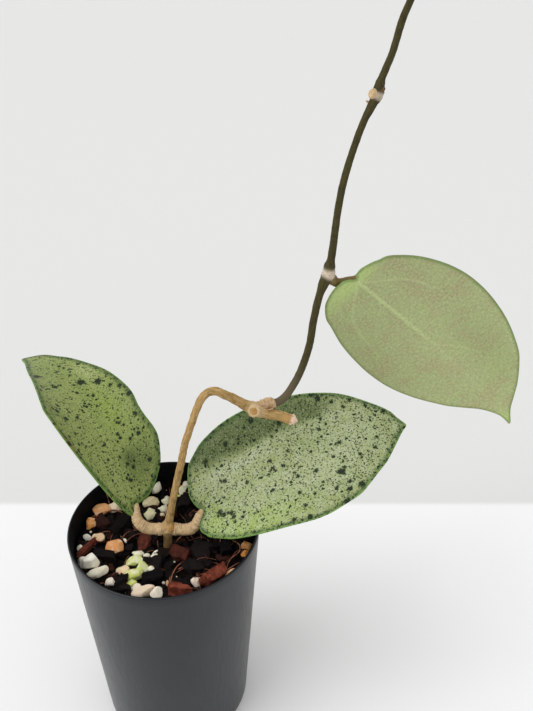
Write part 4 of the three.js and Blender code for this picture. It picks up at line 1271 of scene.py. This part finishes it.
def bark_chips(skin):
    """Bark in the mix: the flakes that show, and many small dark ones between them."""
    draw = random.Random(CHIP_SEED)
    blanks = [chip_blank(seed) for seed in range(CHIP_BLANKS)]
    small = [chip_blank(seed + SMALL_CHIP_SEED, 1) for seed in range(CHIP_BLANKS)]
    chips = []

    def lay(blank, x, y, width, depth, height, turn, tilt, red, lift):
        chip = copy_of(blank)
        place = on_the_mix(x, y, lift) @ (about("Z", turn) @ about("X", tilt))
        chip.data.transform(place @ about("Y", draw.uniform(-9, 9)) @ sized(width, depth, height))
        paint(chip, red=red, shade=draw.random())
        chips.append(chip)

    for index, (x, y, width, depth, height, turn, tilt, red) in enumerate(BARK):
        lay(blanks[index % CHIP_BLANKS], x, y, width, depth, height, turn, tilt, red, height * PIECE_LIFT)
    for index in range(SMALL_CHIPS):
        x, y = somewhere(draw, CHIP_REACH)
        if math.hypot(x - STEM_AT_MIX[0], y - STEM_AT_MIX[1]) < STEM_CLEARING:
            continue
        width = draw.choice((2.2, 3.0, 3.8, 5.0, 6.5))
        red = draw.choice((0, 0, 0, 0, 0.05, 0.1, 0.2, 0.35))
        lay(small[index % CHIP_BLANKS], x, y, width, width * draw.uniform(0.4, 0.8),
            width * draw.uniform(0.2, 0.5), draw.uniform(0, 360), draw.uniform(-40, 40), red,
            draw.uniform(-0.2, 0.7))
    keep_in_pot(chips)
    finish_piece(joined("bark_chips", chips), "potting_mix", skin=skin, crease=35)
    for blank in blanks + small:
        bpy.data.objects.remove(blank)


def green_shard(skin):
    x, y, width, depth, height, turn, tilt = GREEN_SHARD
    shard = name_piece(chip_blank(SHARD_SEED), "green_shard")
    place = on_the_mix(x, y, height * PIECE_LIFT) @ (about("Z", turn) @ about("X", tilt))
    shard.data.transform(place @ sized(width, depth, height * 0.5))
    paint(shard, orange=0, green=1.4, shade=0.5)
    finish_piece(shard, "potting_mix", skin=skin, crease=35)


def coir_fibres(skin):
    """Thin coir fibres that arch out of the mix and back into it."""
    draw = random.Random(FIBRE_SEED)
    strands = [(line, draw.uniform(0.16, 0.26)) for line in FIBRES]
    for _ in range(LOOSE_FIBRES):
        x, y = somewhere(draw, FIBRE_REACH)
        heading = draw.uniform(0, FULL_TURN)
        length = draw.uniform(3, 13)
        rise = draw.uniform(0.4, 2.6)
        line = []
        for step in range(5):
            t = step / 4
            heading += draw.uniform(-0.35, 0.35)
            line.append((x, y, rise * 4 * t * (1 - t) - 0.4 + draw.uniform(-0.2, 0.2)))
            x += length / 4 * math.cos(heading)
            y += length / 4 * math.sin(heading)
        strands.append((line, draw.uniform(0.05, 0.12)))
    curves = bpy.data.curves.new("coir_fibres", "CURVE")
    curves.dimensions = "3D"
    curves.bevel_depth = MM
    curves.bevel_resolution = 1
    curves.use_fill_caps = True
    curves.resolution_u = 5
    for line, thickness in strands:
        spline = curves.splines.new("NURBS")
        spline.points.add(len(line) - 1)
        spline.order_u = min(4, len(line))
        spline.use_endpoint_u = True
        for point, (x, y, lift) in zip(spline.points, line):
            limit = mix_radius(MIX_TOP + MIX_HEAP + lift) - 0.4
            share = min(1, limit / max(math.hypot(x, y), 0.001))
            z = mix_surface(x * share, y * share) + 0.6 + lift
            point.co = (x * share * MM, y * share * MM, z * MM, 1)
            point.radius = thickness
    only(placed("coir_fibres", curves))
    bpy.ops.object.convert(target="MESH")
    finish_piece(name_piece(bpy.context.object, "coir_fibres"), "potting_mix", skin=skin)


def crumbly_group():
    """Rough mineral or woody crumb: clouded tone and a pitted relief."""
    given = new_group("crumb", {"Place": None, "Scale": 1.0}, ("Cloud", "Speck", "Height"))
    place = given["Place"]
    cloud = fuzz(place, times(given["Scale"], 0.35), 4.0, 0.6)
    speck = fuzz(place, times(given["Scale"], 1.8), 4.0, 0.7)
    pits = cells(place, times(given["Scale"], 1.5))["Distance"]
    return close_group(Cloud=cloud, Speck=speck, Height=plus(speck, times(stretch(pits, 0.0, 0.35), 0.6)))


def fines_material(crumb):
    material = new_material("dark_fines")
    crumbs = place_group(crumb, {"Place": object_mm(), "Scale": 1.6})
    colour = mix(stretch(crumbs["Cloud"], 0.35, 0.7), srgb(10, 8, 8), srgb(26, 19, 16))
    colour = mix(stretch(crumbs["Speck"], 0.64, 0.8, 0.0, 0.5), colour, srgb(74, 50, 36))
    return close_material(material, colour, 0.85, 0.05, (crumbs["Height"], 0.0005))


def damp_bark_material(crumb):
    """Damp bark, from near black to dark red, in thin layers, with pale flecks of painted highlight, most on
    the red chips.
    """
    material = new_material("damp_bark")
    crumbs = place_group(crumb, {"Place": object_mm(), "Scale": 1.2})
    red = painted("red")
    dark = mix(painted("shade"), srgb(9, 9, 10), srgb(30, 24, 24))
    reddish = mix(stretch(crumbs["Cloud"], 0.35, 0.65), srgb(104, 46, 34), srgb(156, 82, 62))
    # flake: pale flecks that are painted highlights of the damp surface, stronger on the redder chips.
    flake = times(stretch(crumbs["Speck"], 0.58, 0.75), plus(times(red, 0.5), 0.12))
    colour = layered(dark, (stretch(red, 0.15, 1.0), reddish), (flake, srgb(176, 128, 104)))
    roughness = stretch(crumbs["Cloud"], 0.3, 0.7, 0.55, 0.85)
    return close_material(material, colour, roughness, 0.08, (crumbs["Height"], 0.0005))


def pumice_material(crumb):
    """Pale pumice, stained orange or green in patches."""
    material = new_material("pumice")
    place = object_mm()
    crumbs = place_group(crumb, {"Place": place, "Scale": 1.0})
    patch = stretch(fuzz(place, 0.42, 3.0), 0.3, 0.5, 0.45, 1.0)
    other = stretch(fuzz(scaled(place, (-1, 1, 1)), 0.5, 3.0), 0.3, 0.55, 0.3, 0.9)
    colour = layered(
        mix(painted("shade"), srgb(246, 234, 206), srgb(250, 246, 234)),
        (stretch(crumbs["Speck"], 0.58, 0.76, 0.0, 0.3), srgb(190, 170, 140)),
        (times(painted("orange"), patch), srgb(224, 146, 66)),
        (calc("MINIMUM", times(painted("green"), other), 1.0), srgb(210, 220, 112)),
    )
    return close_material(material, colour, 0.8, 0.2, (crumbs["Height"], 0.0001), weight=0.1, scale=0.001)


def fibre_material():
    material = new_material("coir")
    tone = stretch(fuzz(object_mm(), 0.4, 2.0), 0.35, 0.65)
    return close_material(material, mix(tone, srgb(96, 46, 30), srgb(172, 110, 78)), 0.7)


# ---------------------------------------------------------------- the plant's stems and stalks

KNOB_PLACE = (2.9, -1.2, 100.4)
KNOB_REACH = 1.9
STAIN_PLACE = (48.4, 6.4, 148.9)


def around_point(place, centre, reach):
    """1 at the centre and 0 from `reach` millimetres away."""
    away = np.linalg.norm(place - np.array(centre), axis=1)
    return 1 - ease(away, reach * 0.4, reach)


def make_old_stem(skin):
    leaf_node = reach_of(OLD_STEM_STATIONS, LEAF_NODE)
    old_node = reach_of(OLD_STEM_STATIONS, OLD_NODE)

    def relief(place, around, distance, length):
        ring = hill(distance, leaf_node, 2.0) * (0.5 + 0.9 * rough(place, 0.8, 16))
        knots = 0.16 * rough(place, 0.5, 11) + 0.07 * rough(place, 1.4, 12)
        swell = hill(distance, old_node, 3.5) * 0.35 * rough(place, 0.9, 13)
        ridges = ridged(around, 7, 0.03, 0.12, distance)
        knob = 0.9 * around_point(place, KNOB_PLACE, KNOB_REACH)
        splinters = 0.8 * rough(place, 0.9, 14) + 0.3 * rough(place, 2.2, 15)
        torn = ease(distance, length - 6, length - 0.5) * splinters
        return ring + knots + swell + ridges + knob + torn

    stem = sweep("old_stem_wood", OLD_STEM_STATIONS, 44, 0.42, relief, (0.3, 1.0))
    place = points_of(stem) / MM
    paint(
        stem,
        low=(1 - ease(place[:, 2], LEAF_NODE[2] - 5, LEAF_NODE[2] + 1)) * 0.72,
        knuckle=np.maximum(around_point(place, LEAF_NODE, 4.2), around_point(place, OLD_NODE, 5.5)),
        knob=around_point(place, KNOB_PLACE, KNOB_REACH),
        stain=around_point(place, STAIN_PLACE, 2.6),
        torn=ease(place[:, 0] - (place[:, 2] - 147) * 0.35, 48.6, 50.2),
    )
    finish_piece(stem, "old_stem", "old_stem", skin=skin)


def aimed(piece, centre, direction, skin, turn=0.0):
    """Turns a small piece's +Z along the direction, moves it to the centre and gives it bark."""
    aim = Vector(direction).normalized().to_track_quat("Z", "Y").to_matrix().to_4x4()
    piece.data.transform(Matrix.Translation(Vector(centre) * MM) @ aim @ Matrix.Rotation(turn, 4, "Z"))
    paint(piece, grain=points_of(piece) / MM)
    return wear(piece, skin)


def leaf_scar(ring_skin, disc_skin):
    """The round scar left by an old leaf: a pale raised ring round a sunken ochre disc."""
    x, y, z = OLD_NODE
    centre = (x - 0.2, y - 2.0, z + 0.7)
    ring = lathe([(0.9, 0.0), (2.5, -0.4), (2.5, 0.5), (2.1, 1.2), (1.7, 1.45), (1.3, 1.25), (1.1, 0.9)], 40)
    points = points_of(ring)
    put_points(ring, points * (1 + 0.13 * rough(points / MM, 0.9, 3))[:, None])
    aimed(ring, centre, SCAR_DIRECTION, ring_skin)
    disc = lathe([(1.35, 0.5), (1.3, 1.25), (0.95, 1.5), (0.5, 1.42), (0, 1.35)], 32)
    aimed(disc, centre, SCAR_DIRECTION, disc_skin)
    finish_piece(joined("old_leaf_scar", [ring, disc]), "old_stem", crease=50)


def scale_leaf(base, direction, width, length, bend, turn, skin):
    """A small scale or folded young leaf: a cupped, pointed tongue that clasps the shoot."""
    scale = fresh_grid(12, 16)
    grid = points_of(scale)
    t = (grid[:, 1] + 1) / 2
    half = width / 2 * np.sqrt(np.maximum(0.0, 1 - t**2.2)) * (0.75 + 0.5 * t * (1 - t) * 2) + 0.05
    x = grid[:, 0] * half
    cup = 0.35 * width * (grid[:, 0] ** 2)
    crumple = 0.1 * rough(np.column_stack([x, t * length, t * 0]), 1.6, width)
    put_points(scale, np.column_stack([x, bend * t**2 - cup + crumple, t * length]) * MM)
    thicken = scale.modifiers.new("thickness", "SOLIDIFY")
    thicken.thickness = SCALE_THICKNESS * MM
    only(scale)
    bpy.ops.object.modifier_apply(modifier=thicken.name)
    return aimed(scale, base, direction, skin, turn)


SCALE_THICKNESS = 0.22
# Scale leaves of the shoot's collar: base, direction, width, length, bend and turn.
COLLAR_SCALES = [
    ((38.6, 7.6, 153.9), (0.85, -0.1, 0.42), 2.8, 3.4, 0.4, 2.6),
    ((40.2, 7.8, 152.6), (0.9, -0.1, 0.2), 2.6, 3.0, 0.3, 3.3),
    ((39.6, 9.6, 155.2), (0.95, 0.1, 0.25), 2.6, 3.2, 0.3, 0.4),
]


def make_shoot_collar(skin):
    """The crumpled rings and scales at the foot of the new shoot."""

    def relief(place, around, distance, length):
        angle = np.arctan2(around[:, 1], around[:, 0])
        folds = 0.16 * np.sin(distance * 5.2 + 1.5 * np.sin(angle * 2 + 0.6))
        return folds + 0.32 * rough(place, 0.8, 21) + 0.15 * rough(place, 1.9, 22)

    collar = wear(sweep("shoot_collar", SHOOT_COLLAR_STATIONS, 40, 0.2, relief, (0.6, 0.4)), skin)
    scales = [scale_leaf(*scale, skin) for scale in COLLAR_SCALES]
    finish_piece(joined("shoot_collar", [collar, *scales]), "old_stem")


def make_petiole(node_name, stations, skin, wrinkle, slot):
    def relief(place, around, distance, length):
        fold = np.sin(distance * 7.5 + 2.5 * rough(place, 0.9, 31)) * 0.07 * wrinkle
        lumps = 0.12 * rough(place, 0.45, 32) + 0.08 * wrinkle * rough(place, 1.5, 33)
        return fold + lumps + hill(distance, 2.6, 1.1) * (0.3 + 0.3 * rough(place, 1.3, 34)) * wrinkle

    petiole = sweep(node_name + "_stalk", stations, 44, 0.22, relief, (0.3, 0.7))
    finish_piece(petiole, slot, node_name, skin=skin)


def make_vine(skin):
    nodes = (VINE_NODE_1, VINE_NODE_2, VINE_NODE_3)
    node_1, node_2, node_3 = (reach_of(VINE_STATIONS, place) for place in nodes)

    def relief(place, around, distance, length):
        height = ridged(around, 6, 0.035, 0.05, distance)
        height += 0.07 * rough(place, 0.6, 41) + 0.04 * rough(place, 1.6, 42)
        for node_at, strength in ((node_1, 1.0), (node_2, 0.7), (node_3, 0.5)):
            rings = 0.12 * np.sin(distance * 4.4) + 0.28 * rough(place, 0.9, 43)
            height += hill(distance, node_at, 2.0) * strength * rings
        return height

    vine = sweep("vine_stem", VINE_STATIONS, 36, 0.5, relief, (0.3, 1.0))
    distance = np.zeros(len(vine.data.vertices))
    vine.data.attributes["distance"].data.foreach_get("value", distance)
    collar = hill(distance, node_1 + 0.6, 1.9, 4)
    collar = np.maximum(collar, 0.75 * hill(distance, node_2 - 0.2, 1.3, 4))
    collar = np.maximum(collar, 0.5 * hill(distance, node_3, 0.9, 4))
    paint(vine, grey=1 - ease(distance, 4, 26), collar=collar, fresh=ease(distance, node_3 - 12, node_3 + 10))
    finish_piece(vine, "vine", "vine", skin=skin)


def vine_details(scar_skin, bark_skin, scale_skin):
    """What sits on the vine's nodes: a leaf scar, a bud, a root nub and the folded young leaves."""
    x, y, z = VINE_NODE_2
    scar_profile = [(0, 1.15), (0.7, 1.2), (1.05, 1.42), (1.35, 1.3), (1.6, 0.7), (1.75, -0.3)]
    scar = lathe(scar_profile + [(1.0, -0.6), (0, -0.6)], 32)
    put_points(scar, points_of(scar) * (0.82, 1, 1))
    aimed(scar, (x - 1.2, y - 0.9, z + 0.5), (-0.8, -0.6, 0.15), scar_skin)
    bud = lathe([(0, 1.35), (0.5, 1.15), (0.95, 0.4), (1.3, -0.6), (1.35, -1.1), (0, -1.3)], 24)
    aimed(bud, (x + 1.2, y - 0.4, z + 1.7), (1, -0.2, 0.5), bark_skin)
    nub = lathe([(0, 1.35), (0.3, 1.2), (0.42, 0.5), (0.5, -0.6), (0.55, -1.2), (0, -1.3)], 20)
    aimed(nub, (x - 2.3, y - 0.3, z - 2.4), (-1, -0.1, 0.5), scale_skin)
    finish_piece(joined("vine_knots", [scar, bud, nub]), "vine", crease=50)
    x, y, z = VINE_NODE_3
    young = [
        scale_leaf((x + 0.9, y - 0.9, z + 0.2), (0.45, -0.25, 0.85), 2.0, 6.0, 0.7, 2.9, bark_skin),
        scale_leaf((x - 0.7, y + 0.9, z + 0.4), (0.1, 0.35, 0.95), 1.8, 5.2, 0.7, 0.3, bark_skin),
    ]
    finish_piece(joined("young_leaves", young), "vine")


# ---------------------------------------------------------------- floor, light and camera

CAMERA_PLACE = (0.0408, -0.2345, 0.3338)
CAMERA_TILT = 57
CAMERA_LENS = 41.01
FLOOR_SIZE = 8
FLOOR_DROP = 0.0003
SKY_STRENGTH = 0.72
# Broad, even lights: the direction they come from, power, and spread in degrees.
SUNS = {
    "window": ((-0.5, -0.25, 0.85), 0.95, 40),
    "fill": ((0.75, -0.6, 0.5), 0.2, 60),
    "side": ((-0.95, -0.1, 0.25), 0.8, 50),
}


def floor_material():
    """Plain white in front, a shade greyer from where the photograph's wall begins."""
    material = new_material("pale_floor")
    place = node("ShaderNodeSeparateXYZ", {0: object_mm()}).outputs["Y"]
    colour = mix(stretch(place, 116.6, 121.6), srgb(246, 246, 246), srgb(225, 225, 224))
    return close_material(material, colour, 0.7, 0.2)


def make_stage():
    floor = fresh(bpy.ops.mesh.primitive_plane_add, size=FLOOR_SIZE, location=(0, 0, -FLOOR_DROP))
    wear(name_piece(floor, "pale_floor"), floor_material())
    world = bpy.data.worlds.new("soft_room")
    world.use_nodes = True
    sky = world.node_tree.nodes["Background"]
    sky.inputs["Color"].default_value = (1, 1, 1, 1)
    sky.inputs["Strength"].default_value = SKY_STRENGTH
    bpy.context.scene.world = world
    for name, (direction, power, spread) in SUNS.items():
        light = bpy.data.lights.new(name, "SUN")
        light.energy = power
        light.angle = math.radians(spread)
        placed(name, light).rotation_euler = Vector(direction).to_track_quat("Z", "Y").to_euler()


def make_camera():
    camera = bpy.data.cameras.new("camera")
    camera.lens = CAMERA_LENS
    camera.clip_start = 0.01
    camera.clip_end = 20
    eye = placed("camera", camera)
    eye.location = CAMERA_PLACE
    eye.rotation_euler = (math.radians(CAMERA_TILT), 0, 0)
    bpy.context.scene.camera = eye


# ---------------------------------------------------------------- putting it together

make_camera()
make_stage()
bpy.context.scene.view_settings.view_transform = "Standard"

crumb = crumbly_group()
make_pot(pot_material(), pot_inside_shade_material())
mix_bed(fines_material(crumb))
bark_chips(damp_bark_material(crumb))
pumice = pumice_material(crumb)
pumice_stones(pumice)
green_shard(pumice)
coir_fibres(fibre_material())

bark = bark_group()
skins = {name: bark_material(name, bark) for name in BARKS}
make_old_stem(skins["old_stem_bark"])
leaf_scar(skins["pale_scar_bark"], skins["ochre_scar"])
make_shoot_collar(skins["dry_scale"])
make_petiole("petiole_left", PETIOLE_LEFT_STATIONS, skins["petiole_skin"], 1.0, "petiole")
make_petiole("petiole_right", PETIOLE_RIGHT_STATIONS, skins["petiole_skin"], 1.0, "petiole")
make_petiole("petiole_upper", PETIOLE_UPPER_STATIONS, skins["young_petiole_skin"], 0.5, "young_petiole")
make_vine(skins["vine_bark"])
vine_details(skins["pale_scar_bark"], skins["brown_bud"], skins["dry_scale"])

upper_group = leaf_upper_group(leaf_speckle_group())
under_group = leaf_under_group()
for leaf_name in LEAVES:
    blade(leaf_name, leaf_upper_material(leaf_name, upper_group), leaf_under_material(leaf_name, under_group))
